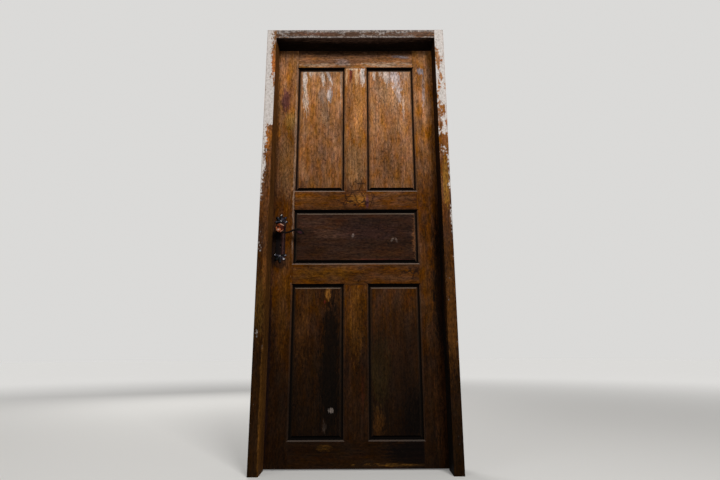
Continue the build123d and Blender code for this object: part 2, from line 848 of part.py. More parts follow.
# Frame: rebated jambs tenoned up into a head that runs over them
jamb_tenon_top = opening_height + jamb_tenon_height
jamb_tenon_y = (jamb_tenon_front, jamb_tenon_front + jamb_tenon_width)
jamb_tenon_middle = (rebate_x + outer_x) / 2
peg_height = opening_height + jamb_tenon_height / 2
fixing_heights = (fixing_inset, opening_height - fixing_inset)

with BuildPart() as arris_cut:
    with BuildSketch(facing(0)):
        span(-inner_x - frame_arris, inner_x + frame_arris, -face_width, opening_height + frame_arris)
    with BuildSketch(facing(frame_arris)):
        span(-inner_x, inner_x, -face_width, opening_height)
    loft()


def head_peg(side, mode=Mode.SUBTRACT):
    peg(side * jamb_tenon_middle, peg_height, frame_depth - head_peg_length, frame_depth, mode)


def build_jamb(side):
    """One rebated jamb with its stop, tenon and wall fixing holes. Side is -1 for the left."""
    with BuildPart() as jamb:
        with BuildSketch(Plane.XY):
            with BuildLine():
                Polyline(
                    (side * inner_x, 0),
                    (side * outer_x, 0),
                    (side * outer_x, frame_depth),
                    (side * rebate_x, frame_depth),
                    (side * rebate_x, stop_depth),
                    (side * inner_x, stop_depth),
                    close=True,
                )
            make_face()
        extrude(amount=opening_height)
        add(arris_cut.part, mode=Mode.SUBTRACT)
        half = jamb_tenon_thickness / 2
        middle = side * jamb_tenon_middle
        block((middle - half, middle + half), jamb_tenon_y, (opening_height, jamb_tenon_top))
        head_peg(side)
        for z in fixing_heights:
            face = (side * inner_x, fixing_depth, z)
            with BuildSketch(Plane(origin=face, x_dir=(0, 1, 0), z_dir=(side, 0, 0))):
                Circle(fixing_hole_radius)
            extrude(amount=face_width, mode=Mode.SUBTRACT)
    return jamb.part


with BuildPart() as jamb_right:
    add(build_jamb(1))
    for middle in hinge_heights.values():
        block((rebate_x, frame_flap_x[1]), (flap_y[0], frame_depth), hinge_span(middle), Mode.SUBTRACT)
        places = hinge_screw_places(middle, frame_flap_x[0])
        place_screws(hinge_screw_hole, places, (1, 0, 0), Mode.SUBTRACT)
frame_parts["jamb_right"] = jamb_right.part

# Strike: its plate lies flush in the left jamb, over a pocket for each bolt
strike_middle = (forend_bottom + forend_top) / 2
strike_z = (strike_middle - strike_height / 2, strike_middle + strike_height / 2)
strike_x = (-rebate_x - strike_thickness, -rebate_x)
strike_y = (frame_depth - strike_width, frame_depth)
strike_screw_places = [(-rebate_x, leaf_middle, z) for z in (strike_z[0] + strike_end, strike_z[1] - strike_end)]
pocket_boxes = [
    (grown(latch_y, pocket_gap), grown(latch_z, pocket_gap)),
    (grown(bolt_y, pocket_gap), grown(bolt_z, pocket_gap)),
]

with BuildPart() as jamb_left:
    add(build_jamb(-1))
    block(strike_x, strike_y, strike_z, Mode.SUBTRACT)
    for y, z in pocket_boxes:
        block((-rebate_x - pocket_depth, -rebate_x), y, z, Mode.SUBTRACT)
    place_screws(strike_screw_hole, strike_screw_places, (-1, 0, 0), Mode.SUBTRACT)
frame_parts["jamb_left"] = jamb_left.part

with BuildPart() as strike_plate:
    block(strike_x, strike_y, strike_z)
    for y, z in pocket_boxes:
        block(strike_x, y, z, Mode.SUBTRACT)
    place_screws(strike_screw_hole, strike_screw_places, (-1, 0, 0), Mode.SUBTRACT)
frame_parts["strike_plate"] = strike_plate.part

with BuildPart() as strike_screws:
    place_screws(strike_screw_shape, strike_screw_places, (-1, 0, 0))
frame_parts["strike_screws"] = strike_screws.part

with BuildPart() as head:
    block((-outer_x, outer_x), (0, frame_depth), (opening_height, head_top))
    block(
        (-rebate_x, rebate_x),
        (stop_depth, frame_depth),
        (opening_height, opening_height + rebate_step),
        Mode.SUBTRACT,
    )
    add(arris_cut.part, mode=Mode.SUBTRACT)
    for side in (-1, 1):
        middle = side * jamb_tenon_middle
        half = jamb_tenon_thickness / 2 + wood_fit
        block(
            (middle - half, middle + half),
            grown(jamb_tenon_y, wood_fit),
            (opening_height, jamb_tenon_top + wood_fit),
            Mode.SUBTRACT,
        )
        head_peg(side)
frame_parts["head"] = head.part

with BuildPart() as head_pegs:
    for side in (-1, 1):
        head_peg(side, Mode.ADD)
frame_parts["head_pegs"] = head_pegs.part

# Everything, by the body that it moves with
all_parts = {
    **frame_parts,
    **leaf_parts,
    **handle_parts,
    "latch_bolt": latch_bolt.part,
    "deadbolt": deadbolt.part,
}
for name, piece in all_parts.items():
    piece.label = name
    export_step(piece, f"parts/{name}.step")
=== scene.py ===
import math

import bpy
import numpy as np
from mathutils import Matrix, Vector


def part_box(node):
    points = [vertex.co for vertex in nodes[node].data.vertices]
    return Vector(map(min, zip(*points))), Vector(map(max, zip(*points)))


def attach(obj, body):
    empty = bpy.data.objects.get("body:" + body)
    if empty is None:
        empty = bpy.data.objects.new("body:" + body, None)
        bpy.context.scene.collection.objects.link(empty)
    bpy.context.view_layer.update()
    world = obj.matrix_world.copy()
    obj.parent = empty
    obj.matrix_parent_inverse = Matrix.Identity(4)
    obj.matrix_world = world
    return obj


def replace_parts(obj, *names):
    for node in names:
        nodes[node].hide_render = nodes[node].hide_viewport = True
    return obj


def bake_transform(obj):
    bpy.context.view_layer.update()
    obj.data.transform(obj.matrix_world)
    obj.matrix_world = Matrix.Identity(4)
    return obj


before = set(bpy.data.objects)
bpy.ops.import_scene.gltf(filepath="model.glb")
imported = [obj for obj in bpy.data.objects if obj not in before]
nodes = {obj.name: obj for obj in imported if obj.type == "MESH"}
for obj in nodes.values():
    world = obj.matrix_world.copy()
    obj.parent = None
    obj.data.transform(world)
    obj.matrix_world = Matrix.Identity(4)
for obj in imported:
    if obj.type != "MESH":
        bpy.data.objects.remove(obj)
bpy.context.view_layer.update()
mm = 0.001
leafMiddle = 131  # mm along Y, halfway through the leaf: its faces and the two handles mirror about it


def linearColour(hexText):
    # sRGB to linear: a straight line below 0.04045, a power of 2.4 above it
    parts = [int(hexText[i:i + 2], 16) / 255 for i in (1, 3, 5)]
    return tuple(p / 12.92 if p <= 0.04045 else ((p + 0.055) / 1.055) ** 2.4 for p in parts) + (1.0,)


def addNode(tree, kind, inputs=(), stops=None, **settings):
    # settings are the node's own fields, inputs its sockets in order, or by name or number, and stops a ramp's
    # places and colours; the kind goes without its ShaderNode
    node = tree.nodes.new("ShaderNode" + kind)
    for key, value in settings.items():
        setattr(node, key, value)
    if stops:
        ramp = node.color_ramp
        while len(ramp.elements) < len(stops):
            ramp.elements.new(0.5)
        for element, (place, colour) in zip(ramp.elements, stops):
            element.position = place
            element.color = linearColour(colour)
    for key, value in inputs.items() if isinstance(inputs, dict) else enumerate(inputs):
        if isinstance(value, bpy.types.NodeSocket):
            tree.links.new(value, node.inputs[key])
        else:
            node.inputs[key].default_value = value
    return node


def newMaterial(name, roughness, metallic=0.0, gloss=0.5):
    material = bpy.data.materials.new(name)
    material.use_nodes = True
    tree = material.node_tree
    tree.nodes.clear()
    shader = addNode(tree, "BsdfPrincipled",
                     {"Roughness": roughness, "Metallic": metallic, "Specular IOR Level": gloss})
    addNode(tree, "OutputMaterial", {"Surface": shader.outputs[0]})
    return material, tree, shader


def finishSurface(tree, shader, colour, height, relief, depth):
    # the worked-out colour, and a height pattern that stands depth mm proud at full strength
    bump = addNode(tree, "Bump", {"Height": height, "Strength": relief, "Distance": depth * mm})
    tree.links.new(colour, shader.inputs["Base Color"])
    tree.links.new(bump.outputs[0], shader.inputs["Normal"])


def keepObject(name, mesh, body=None, material=None):
    thing = bpy.data.objects.new(name, mesh)
    bpy.context.scene.collection.objects.link(thing)
    if material:
        mesh.materials.append(material)
    if body:
        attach(thing, body)
    return thing


# low in front of the door and looking up; angles in degrees, places and clipping in metres
camera = {"place": (0.014, -2.104, 0.490), "pitch": 13.41, "yaw": 0.16, "roll": -0.21, "lens": 23.75, "sensor": 36.0,
          "near": 0.05, "far": 60}


def placeCamera(values):
    pitch, yaw, roll = (math.radians(values[k]) for k in ("pitch", "yaw", "roll"))
    ahead = Vector((math.sin(yaw) * math.cos(pitch), math.cos(yaw) * math.cos(pitch), math.sin(pitch)))
    side = Vector((math.cos(yaw), -math.sin(yaw), 0))
    above = side.cross(ahead)
    right = side * math.cos(roll) + above * math.sin(roll)
    up = above * math.cos(roll) - side * math.sin(roll)
    data = bpy.data.cameras.new("camera")
    data.lens, data.sensor_width, data.sensor_fit = values["lens"], values["sensor"], "HORIZONTAL"
    data.clip_start, data.clip_end = values["near"], values["far"]
    thing = bpy.data.objects.new("camera", data)
    thing.matrix_world = Matrix((right, up, -ahead)).transposed().to_4x4()
    thing.matrix_world.translation = Vector(values["place"])
    bpy.context.scene.collection.objects.link(thing)
    bpy.context.scene.camera = thing


placeCamera(camera)
print("camera placed")

studio = {
    "floorReach": 40.0, "firstRing": 0.6, "ringGrowth": 1.5, "rings": 10, "around": 72, "floorColour": "#cfcdc9",
    "glowNear": 0.16, "glowFar": 0.63, "glowStarts": 2.0, "glowEnds": 9.0,
    "worldColour": "#f4f3f1", "worldStrength": 0.2, "worldSeen": 0.78, "aim": (0.0, 0.11, 1.1),
    "keyPlace": (1.40, -3.70, 3.00), "keySize": 1.2, "keyPower": 150,
    "fillPlace": (-2.6, -2.8, 1.6), "fillSize": 2.0, "fillPower": 22,
    "backPlace": (-1.6, 3.6, 2.6), "backSize": 2.2, "backPower": 80,
}


def directRays(tree):
    # 1 for rays that come straight, mirrored or through glass from the camera, 0 for those that light the door
    ray = addNode(tree, "LightPath").outputs
    share = addNode(tree, "Math", (ray["Is Camera Ray"], ray["Is Glossy Ray"]), operation="MAXIMUM").outputs[0]
    return addNode(tree, "Math", (share, ray["Is Transmission Ray"]), operation="MAXIMUM").outputs[0]


def makeFloor(values):
    # a flat disc of rings, each ringGrowth times as wide as the last; its glow for the camera grows with the
    # distance until it meets the world's tone, so that no edge or horizon shows from any side
    around = values["around"]
    rings = [values["firstRing"] * values["ringGrowth"] ** k for k in range(values["rings"])]
    radii = np.array(rings + [values["floorReach"]])
    angle = np.linspace(0, 2 * math.pi, around, endpoint=False)
    points = np.stack([np.outer(radii, np.cos(angle)), np.outer(radii, np.sin(angle)),
                       np.zeros((len(radii), around))], 2)
    i, j = np.meshgrid(np.arange(len(radii) - 1), np.arange(around), indexing="ij")
    here, there = i * around + j, i * around + (j + 1) % around
    faces = np.stack([here, here + around, there + around, there], 2).reshape(-1, 4).tolist()
    mesh = bpy.data.meshes.new("studioFloor")
    mesh.from_pydata(points.reshape(-1, 3).tolist(), [], faces + [list(range(around))])
    material, tree, shader = newMaterial("pale paper floor", 0.95, gloss=0.1)
    shader.inputs["Base Color"].default_value = linearColour(values["floorColour"])
    place = addNode(tree, "TexCoord").outputs["Object"]
    away = addNode(tree, "VectorMath", (place,), operation="LENGTH").outputs["Value"]
    far = addNode(tree, "MapRange", (away, values["glowStarts"], values["glowEnds"], values["glowNear"],
                  values["glowFar"]), interpolation_type="SMOOTHSTEP").outputs[0]
    glow = addNode(tree, "Math", (directRays(tree), far), operation="MULTIPLY").outputs[0]
    shader.inputs["Emission Color"].default_value = linearColour(values["worldColour"])
    tree.links.new(glow, shader.inputs["Emission Strength"])
    keepObject("studioFloor", mesh, material=material)


def addLamp(name, place, aim, size, power):
    data = bpy.data.lights.new(name, "AREA")
    data.shape, data.size, data.energy = "SQUARE", size, power
    thing = bpy.data.objects.new(name, data)
    thing.location = place
    thing.rotation_mode = "QUATERNION"
    thing.rotation_quaternion = (Vector(aim) - Vector(place)).to_track_quat("-Z", "Y")
    bpy.context.scene.collection.objects.link(thing)


def lightWorld(values):
    # dim for the rays that light the door, pale for those that the camera sees
    world = bpy.data.worlds.new("studio")
    bpy.context.scene.world = world
    world.use_nodes = True
    tree = world.node_tree
    tree.nodes.clear()
    glow = addNode(tree, "MapRange", (directRays(tree), 0.0, 1.0, values["worldStrength"],
                   values["worldSeen"])).outputs[0]
    light = addNode(tree, "Background", {"Color": linearColour(values["worldColour"]), "Strength": glow})
    addNode(tree, "OutputWorld", {"Surface": light.outputs[0]})


makeFloor(studio)
for lamp in ("key", "fill", "back"):
    addLamp(lamp + "Lamp", studio[lamp + "Place"], studio["aim"], studio[lamp + "Size"], studio[lamp + "Power"])
lightWorld(studio)
bpy.context.scene.view_settings.view_transform = "Standard"
print("studio built")

# pine under an old brown varnish: golden high up, brown black towards the bottom, partly grime, partly painted shade
leafWood = {
    "height": 2.1, "roughness": 0.68, "gloss": 0.03, "relief": 0.4, "reliefDepth": 0.4,
    # tones by height, as shares of the door's own
    "memberTones": [(0.0, "#1d0f05"), (0.12, "#201106"), (0.22, "#281507"), (0.34, "#40240b"), (0.41, "#48280d"),
                    (0.58, "#512f17"), (0.68, "#6e4627"), (0.81, "#8e5e38"), (0.92, "#946440"), (1.0, "#7c5538")],
    "panelTones": [(0.0, "#140903"), (0.10, "#180c04"), (0.18, "#1d0f05"), (0.26, "#261407"), (0.36, "#39200d"),
                   (0.44, "#2e1c12"), (0.56, "#301d14"), (0.60, "#644229"), (0.67, "#785034"), (0.83, "#926442"),
                   (0.92, "#986c4b")],
    "frameTones": [(0.0, "#1e1004"), (0.24, "#241306"), (0.45, "#3c220f"), (0.67, "#643d22"), (0.8, "#8c5a30"),
                   (1.0, "#825837")],
    # patterns: size in mm along and across the grain, detail, roughness, the noise's middle range, and what that is
    # spread to; real pores are finer than 1.8 mm and are drawn that coarse so that they show
    "streak": (150, 10, 3.0, 0.65, 0.32, 0.68, 0.68, 1.3),
    "blotch": (208, 78, 2.0, 0.5, 0.3, 0.7, 0.7, 1.3),
    "speck": (17.6, 6.4, 2.0, 0.75, 0.33, 0.67, 0.48, 1.46),
    "pore": (150, 1.8, 2.0, 0.6, 0.34, 0.66, 0.88, 1.1),
    "warmth": (72, 24, 3.0, 0.7, 0.3, 0.7, 0.496, 0.507),
    "depth": (96, 33.6, 2.0, 0.6, 0.3, 0.7, 1.15, 0.91),
    "rag": (34, 5, 3.0, 0.75, 0.28, 0.72, -1.0, 1.0),
}
# below, sizes are in mm, and a range is from low, from high, to low, to high, or only the first two
markEdge = (1.2, 0.7)  # where a mark fades in, in half sizes from its middle
# dots over the wood: the dark ones are mould, the pale ones painted glints off the bumpy varnish
mouldAndGlints = {"cell": 9, "ragSize": 6.25, "rag": 12, "ragDetail": 2.0, "radius": (0.35, 1.0, 0.0, 0.42),
          "larger": (0.85, 1.2, 1.1, 0.3), "edge": (0.08, -0.12), "tone": (0.64, 0.68, 0.35, 1.55)}
crazing = {"cell": 46, "ragSize": 25, "rag": 36, "ragDetail": 3.0, "line": (0.0, 0.1, 1.0, 0.0), "broken": 0.5,
           "edge": (1.1, 0.7), "tone": "#1a0e08"}
# painted light on the mouldings and reveals: highlight on slopes that face up, shade on those that face down
paintedLight = {"facesUp": (-0.1, 0.6), "facesDown": (-0.3, -0.6), "facesAside": (0.1, 0.4, 1.0, 0.3), "lip": 0.3,
        "height": (0.3, 1.5, 0.25, 1.0), "palest": 0.5, "reveal": (0.4, 0.8)}


def grainNoise(tree, place, grain, shift, along, across, detail, rough, low, high, bottom, top):
    # noise stretched along the grain, then spread from its middle range to the wanted one
    scale = tuple(1 / (along if axis == grain else across) / mm for axis in "xyz")
    spot = addNode(tree, "Mapping", {"Vector": place, "Location": shift, "Scale": scale}).outputs[0]
    noise = addNode(tree, "TexNoise", {"Vector": spot, "Scale": 1.0, "Detail": detail, "Roughness": rough}).outputs[0]
    return addNode(tree, "MapRange", (noise, low, high, bottom, top)).outputs[0]


def raggedCells(tree, place, values, **settings):
    # cells laid on the place after a noise has moved it by up to rag along each axis
    bent = addNode(tree, "TexNoise", {"Vector": place, "Scale": 1 / (values["ragSize"] * mm),
                   "Detail": values["ragDetail"]}).outputs[1]
    bent = addNode(tree, "VectorMath", (bent, (values["rag"] * mm,) * 3, place), operation="MULTIPLY_ADD").outputs[0]
    return addNode(tree, "TexVoronoi", {"Vector": bent, "Scale": 1 / (values["cell"] * mm)}, **settings).outputs


def fromSpot(tree, place, x, z, wide, high, tilt=0, front=0, reach=1e6):
    # the distance from a point in half sizes, 1 on the ellipse's edge; by default depth doesn't count
    spot = addNode(tree, "Mapping", {"Vector": place, "Location": (x * mm, front * mm, z * mm),
                   "Rotation": (0, math.radians(tilt), 0), "Scale": (wide * mm / 2, reach * mm, high * mm / 2)},
                   vector_type="TEXTURE").outputs[0]
    return addNode(tree, "VectorMath", (spot,), operation="LENGTH").outputs["Value"]


def fromLeafMiddle(tree, place):
    # the distance from the plane halfway through the leaf, the same on both of its faces
    deep = addNode(tree, "SeparateXYZ", (place,)).outputs[1]
    deep = addNode(tree, "Math", (deep, -leafMiddle * mm), operation="ADD").outputs[0]
    return addNode(tree, "Math", (deep,), operation="ABSOLUTE").outputs[0]


def layMark(tree, colour, place, rag, mark, face=(0, 1000)):
    # a soft ellipse, made ragged by the noise, then turned into cover; face is the y of the marked face and how far
    # in from it the mark reaches
    x, z, wide, high, tilt, tone, strength, broken = mark
    away = fromSpot(tree, place, x, z, wide, high, tilt, *face)
    worn = addNode(tree, "Math", (rag, broken, away), operation="MULTIPLY_ADD").outputs[0]
    cover = addNode(tree, "MapRange", (worn, *markEdge, 0.0, strength), interpolation_type="SMOOTHSTEP").outputs[0]
    return addNode(tree, "Mix", {0: cover, 6: colour, 7: linearColour(tone)}, data_type="RGBA").outputs[2]


def layMouldAndGlints(tree, colour, place, blotch):
    # a ragged dot in a cell, its radius in cells set by the cell's random colour and larger where the wood is
    # blotched; two in three are mould, darker than the wood, and the rest are painted glints, paler than the wood
    cells = raggedCells(tree, place, mouldAndGlints)
    chance = addNode(tree, "SeparateXYZ", (cells["Color"],)).outputs
    radius = addNode(tree, "MapRange", (chance[0], *mouldAndGlints["radius"])).outputs[0]
    larger = addNode(tree, "MapRange", (blotch, *mouldAndGlints["larger"])).outputs[0]
    radius = addNode(tree, "Math", (radius, larger), operation="MULTIPLY").outputs[0]
    outside = addNode(tree, "Math", (cells["Distance"], radius), operation="SUBTRACT").outputs[0]
    dot = addNode(tree, "MapRange", (outside, *mouldAndGlints["edge"])).outputs[0]
    tone = addNode(tree, "MapRange", (chance[1], *mouldAndGlints["tone"])).outputs[0]
    shade = addNode(tree, "Mix", {0: dot, 2: 1.0, 3: tone}, data_type="FLOAT").outputs[0]
    return addNode(tree, "Mix", {0: 1.0, 6: colour, 7: shade}, data_type="RGBA", blend_type="MULTIPLY").outputs[2]


def layCrazing(tree, colour, place, rag, area):
    # old varnish splits into cells: dark lines where two cells meet, inside a soft ellipse
    cell = raggedCells(tree, place, crazing, feature="DISTANCE_TO_EDGE")["Distance"]
    line = addNode(tree, "MapRange", (cell, *crazing["line"])).outputs[0]
    away = addNode(tree, "Math", (rag, crazing["broken"], fromSpot(tree, place, *area)),
                   operation="MULTIPLY_ADD").outputs[0]
    inside = addNode(tree, "MapRange", (away, *crazing["edge"])).outputs[0]
    split = addNode(tree, "Math", (line, inside), operation="MULTIPLY").outputs[0]
    return addNode(tree, "Mix", {0: split, 6: colour, 7: linearColour(crazing["tone"])}, data_type="RGBA").outputs[2]


def paintMouldingLight(tree, colour, place, normal, groove):
    # the moulding and bevels get a painted highlight where they face up, more so higher on the door, painted shade
    # where they face down, and painted shade fills the groove as it gets deeper, less on the slopes that face sideways
    deep = fromLeafMiddle(tree, place)
    height = addNode(tree, "SeparateXYZ", (place,)).outputs[2]
    ways = addNode(tree, "SeparateXYZ", (normal,)).outputs
    slope = addNode(tree, "MapRange", (deep, groove["face"] * mm, (groove["face"] - paintedLight["lip"]) * mm)).outputs[0]
    higher = addNode(tree, "MapRange", (height, *paintedLight["height"])).outputs[0]
    rubbed = addNode(tree, "MapRange", (ways[2], *paintedLight["facesUp"], 0.0, groove["pale"])).outputs[0]
    shaded = addNode(tree, "MapRange", (ways[2], *paintedLight["facesDown"])).outputs[0]
    aside = addNode(tree, "Math", (ways[0],), operation="ABSOLUTE").outputs[0]
    aside = addNode(tree, "MapRange", (aside, *paintedLight["facesAside"])).outputs[0]
    paintedShade = addNode(tree, "MapRange", (deep, groove["start"] * mm, groove["end"] * mm, 0.0, groove["shadeCover"])).outputs[0]
    palest = addNode(tree, "Mix", {0: paintedLight["palest"], 6: colour, 7: linearColour(groove["rubbed"])},
                     data_type="RGBA").outputs[2]
    dark = linearColour(groove["paintedShade"])
    for cover, shares, tone in ((rubbed, (slope, higher), palest), (shaded, (slope,), dark), (paintedShade, (aside,), dark)):
        for share in shares:
            cover = addNode(tree, "Math", (cover, share), operation="MULTIPLY").outputs[0]
        colour = addNode(tree, "Mix", {0: cover, 6: colour, 7: tone}, data_type="RGBA").outputs[2]
    return colour


def varnishedWood(name, tones, grain, shift, groove, marks, crazed=()):
    # tone by height, then marks, the grain over both, mould and painted glints, crazing, painted light on mouldings
    material, tree, shader = newMaterial(name, leafWood["roughness"], gloss=leafWood["gloss"])
    coordinates = addNode(tree, "TexCoord").outputs
    place, normal = coordinates["Object"], coordinates["Normal"]
    height = addNode(tree, "SeparateXYZ", (place,)).outputs[2]
    share = addNode(tree, "MapRange", (height, 0.0, leafWood["height"])).outputs[0]
    colour = addNode(tree, "ValToRGB", (share,), tones).outputs[0]
    streak, blotch, speck, pore, warmth, depth, rag = (
        grainNoise(tree, place, grain, shift, *leafWood[key])
        for key in ("streak", "blotch", "speck", "pore", "warmth", "depth", "rag"))
    colour = addNode(tree, "HueSaturation", {"Hue": warmth, "Saturation": depth, "Color": colour}).outputs[0]
    if "reveal" in groove:
        # the faces that look into the opening get painted light and shade by the way they face, under the same grain
        inner = addNode(tree, "VectorMath", (normal, groove["reveal"]), operation="DOT_PRODUCT").outputs["Value"]
        inner = addNode(tree, "MapRange", (inner, *paintedLight["reveal"], 0.0, groove["shadeCover"])).outputs[0]
        colour = addNode(tree, "Mix", {0: inner, 6: colour, 7: linearColour(groove["paintedShade"])},
                         data_type="RGBA").outputs[2]
    for mark in marks:
        colour = layMark(tree, colour, place, rag, mark, groove["front"])
    for shade in (streak, blotch, speck, pore):
        colour = addNode(tree, "Mix", {0: 1.0, 6: colour, 7: shade}, data_type="RGBA", blend_type="MULTIPLY").outputs[2]
    colour = layMouldAndGlints(tree, colour, place, blotch)
    for area in crazed:
        colour = layCrazing(tree, colour, place, rag, area)
    if "pale" in groove:
        colour = paintMouldingLight(tree, colour, place, normal, groove)
    height = addNode(tree, "Math", (streak, speck), operation="ADD").outputs[0]
    finishSurface(tree, shader, colour, height, leafWood["relief"], leafWood["reliefDepth"])
    return material


def dress(node, material):
    for place in nodes[node].material_slots:
        place.material = material


# marks on each piece: x, z, width, height in mm, tilt in degrees, colour, strength, how broken its edge is
white, cream, purple, ochre, red = "#c9bdb4", "#b9a48c", "#4a2530", "#a8702a", "#5a1c14"
marks = {
    "panel_upper_left": [
        (-264, 1890, 22, 120, 2, white, 0.8, 0.9), (-258, 1765, 22, 160, -3, "#b8a696", 0.7, 1.1),
        (-236, 1922, 22, 38, 0, white, 0.7, 0.9), (-172, 1900, 18, 100, -8, white, 0.75, 1.0),
        (-140, 1905, 18, 90, -20, "#b8ada8", 0.8, 1.0), (-134, 1795, 26, 90, 0, "#b5aaa6", 0.8, 0.9),
        (-170, 1790, 40, 80, 0, "#a08c7c", 0.45, 1.2), (-155, 1690, 40, 160, 0, "#9a8068", 0.3, 1.2),
        (-200, 1925, 170, 30, 0, "#9c8570", 0.4, 1.1), (-75, 1850, 10, 200, 0, "#8d8276", 0.5, 0.8)],
    "panel_upper_right": [
        (97, 1905, 14, 60, 0, white, 0.7, 1.0), (128, 1920, 14, 40, 0, white, 0.5, 1.0),
        (160, 1900, 30, 100, -6, "#bdb0a8", 0.7, 1.0), (206, 1885, 50, 120, -12, "#b2a8aa", 0.75, 1.5),
        (222, 1800, 26, 110, -8, "#a69896", 0.75, 1.3), (246, 1725, 12, 130, 0, "#a89080", 0.6, 1.0),
        (180, 1800, 150, 150, 0, "#a08468", 0.3, 1.2), (255, 1905, 40, 60, 0, "#a89080", 0.4, 1.2)],
    "upper_muntin": [
        (-24, 1905, 16, 90, 0, "#4e1f1c", 0.9, 0.4), (36, 1905, 28, 130, 0, "#d2c6be", 0.9, 0.8),
        (6, 1900, 20, 120, 0, "#c8a684", 0.75, 0.9), (-6, 1948, 80, 26, 0, "#c8b49c", 0.7, 0.9),
        (-46, 1900, 10, 110, 0, "#c49c78", 0.6, 0.9), (-34, 1740, 16, 260, 0, "#5c3418", 0.55, 0.9),
        (18, 1740, 44, 300, 0, "#b67c42", 0.5, 0.9), (0, 1400, 100, 240, 0, "#8e6a46", 0.5, 0.8),
        (0, 1285, 110, 60, 0, "#4a2a14", 0.3, 0.9)],
    "stile_left": [
        (-358, 1755, 46, 140, 0, purple, 0.75, 0.6), (-330, 1820, 30, 160, 0, "#6e4022", 0.45, 0.9),
        # the two dark strips at x -400, down the edge by the jamb, are painted shade in the corner
        (-400, 1450, 26, 1100, 0, "#38200f", 0.7, 0.5), (-400, 450, 26, 900, 0, "#160b0c", 0.8, 0.5),
        (-345, 700, 46, 420, 0, "#4f3010", 0.45, 0.8), (-330, 1640, 60, 90, 0, "#9a7a38", 0.4, 0.9),
        (-304, 1500, 10, 1000, 0, "#a48c78", 0.4, 0.8), (-340, 1400, 80, 300, 0, "#84603a", 0.4, 0.8),
        # the two dark marks at x -390 and -360 are a painted shadow of the handle on the stile
        (-390, 985, 36, 200, 0, "#0e0908", 0.92, 0.3), (-360, 905, 60, 50, 20, "#120b0b", 0.7, 0.4)],
    "stile_right": [
        (338, 1925, 36, 40, 0, "#83828a", 0.75, 0.5), (350, 1800, 16, 160, 0, "#94898a", 0.5, 1.0),
        # the three dark marks at x 412 to 414 are painted shade cast by the jamb on the stile
        (414, 1850, 44, 900, 0, "#1c120b", 0.08, 0.4), (412, 1400, 70, 700, 0, "#150d09", 0.12, 0.6),
        (412, 780, 110, 780, 0, "#0b0706", 0.84, 0.4), (380, 280, 60, 400, 0, "#3a200c", 0.4, 0.9),
        (352, 1300, 50, 200, 0, "#2a1a10", 0.45, 1.0)],
    "top_rail": [
        (-71, 1978, 66, 40, 0, "#ac958e", 0.8, 0.8), (235, 2010, 100, 18, 4, "#84848c", 0.8, 0.6),
        # the dark band at z 2064 is a painted shadow of the head on the top of the leaf
        (320, 2008, 46, 8, 0, "#6b2a20", 0.7, 0.9), (0, 2064, 1200, 110, 0, "#17110d", 0.85, 0.2),
        (0, 1990, 900, 64, 0, "#5c4030", 0.6, 1.0), (-180, 1962, 200, 20, 0, cream, 0.35, 1.1),
        (150, 1965, 240, 22, 0, cream, 0.4, 1.1)],
    "upper_cross_rail": [
        (15, 1225, 90, 50, 0, ochre, 0.35, 1.0), (56, 1205, 16, 76, 0, "#40242e", 0.75, 0.6),
        (-20, 1175, 800, 14, 0, "#2a190d", 0.5, 0.9), (-200, 1225, 180, 40, 0, "#5e3a18", 0.4, 1.0)],
    "panel_middle": [
        (-14, 1042, 12, 22, 15, "#8a7a72", 0.55, 0.6), (176, 1022, 10, 22, 35, "#7c6c62", 0.5, 0.7),
        (194, 1020, 10, 26, -20, "#6c5c54", 0.45, 0.7), (-120, 1050, 150, 60, 0, "#4a3428", 0.4, 1.1),
        (120, 922, 240, 12, 0, "#4c2218", 0.45, 1.0), (60, 1060, 300, 70, 0, "#2c1c1c", 0.4, 1.1),
        (290, 1040, 30, 220, 0, "#744a2c", 0.7, 0.9)],
    "lower_cross_rail": [(-150, 860, 300, 60, 0, "#64400f", 0.4, 0.9), (180, 850, 300, 60, 0, "#3c2412", 0.4, 1.0)],
    "panel_lower_left": [
        (-118, 420, 96, 780, 1, "#070402", 0.88, 0.6), (-130, 762, 22, 56, 0, "#8a5a24", 0.6, 0.9),
        (-144, 723, 10, 16, 0, red, 0.7, 0.5), (-111, 243, 24, 20, 0, "#7c7068", 0.6, 0.8),
        (-141, 175, 16, 50, 0, "#40342c", 0.4, 1.2), (-250, 600, 60, 300, 0, "#4a2c10", 0.4, 0.9)],
    "panel_lower_right": [
        (96, 190, 50, 130, 0, "#4a2c0e", 0.4, 1.1), (262, 240, 120, 260, 0, "#050302", 0.88, 0.6),
        (110, 420, 90, 300, 0, "#26200c", 0.4, 0.9), (200, 500, 200, 500, 0, "#20130a", 0.4, 0.9)],
    "lower_muntin": [(0, 640, 60, 340, 0, "#5e3a12", 0.4, 0.9), (30, 330, 14, 180, 0, "#40180e", 0.25, 1.0),
                     (-40, 420, 24, 500, 0, "#1c0f08", 0.5, 0.9)],
    "bottom_rail": [(-139, 92, 70, 24, 0, "#4c320e", 0.5, 1.0), (240, 22, 320, 12, 0, "#6c4818", 0.5, 1.1),
                    (300, 70, 360, 130, 0, "#050303", 0.86, 0.4)],
}
# crazed areas: x, z, width and height in mm
crazed = {"upper_cross_rail": [(5, 1222, 230, 90)], "upper_muntin": [(16, 1285, 90, 80)],
          "lower_cross_rail": [(260, 860, 120, 70)]}
# in mm from the leaf's middle: the face, and where the groove's painted shade starts and is full; front is the marked
# face's y and how far in from it the marks reach
memberGroove = {"face": 20.9, "start": 15.8, "end": 14.6, "shadeCover": 0.96, "paintedShade": "#060403", "pale": 1.0,
                "rubbed": "#a8988c", "front": (110, 14)}
panelGroove = {"face": 13.9, "start": 9.5, "end": 6.5, "shadeCover": 0.96, "paintedShade": "#060403", "pale": 0.95,
               "rubbed": "#b09c88", "front": (117, 10)}
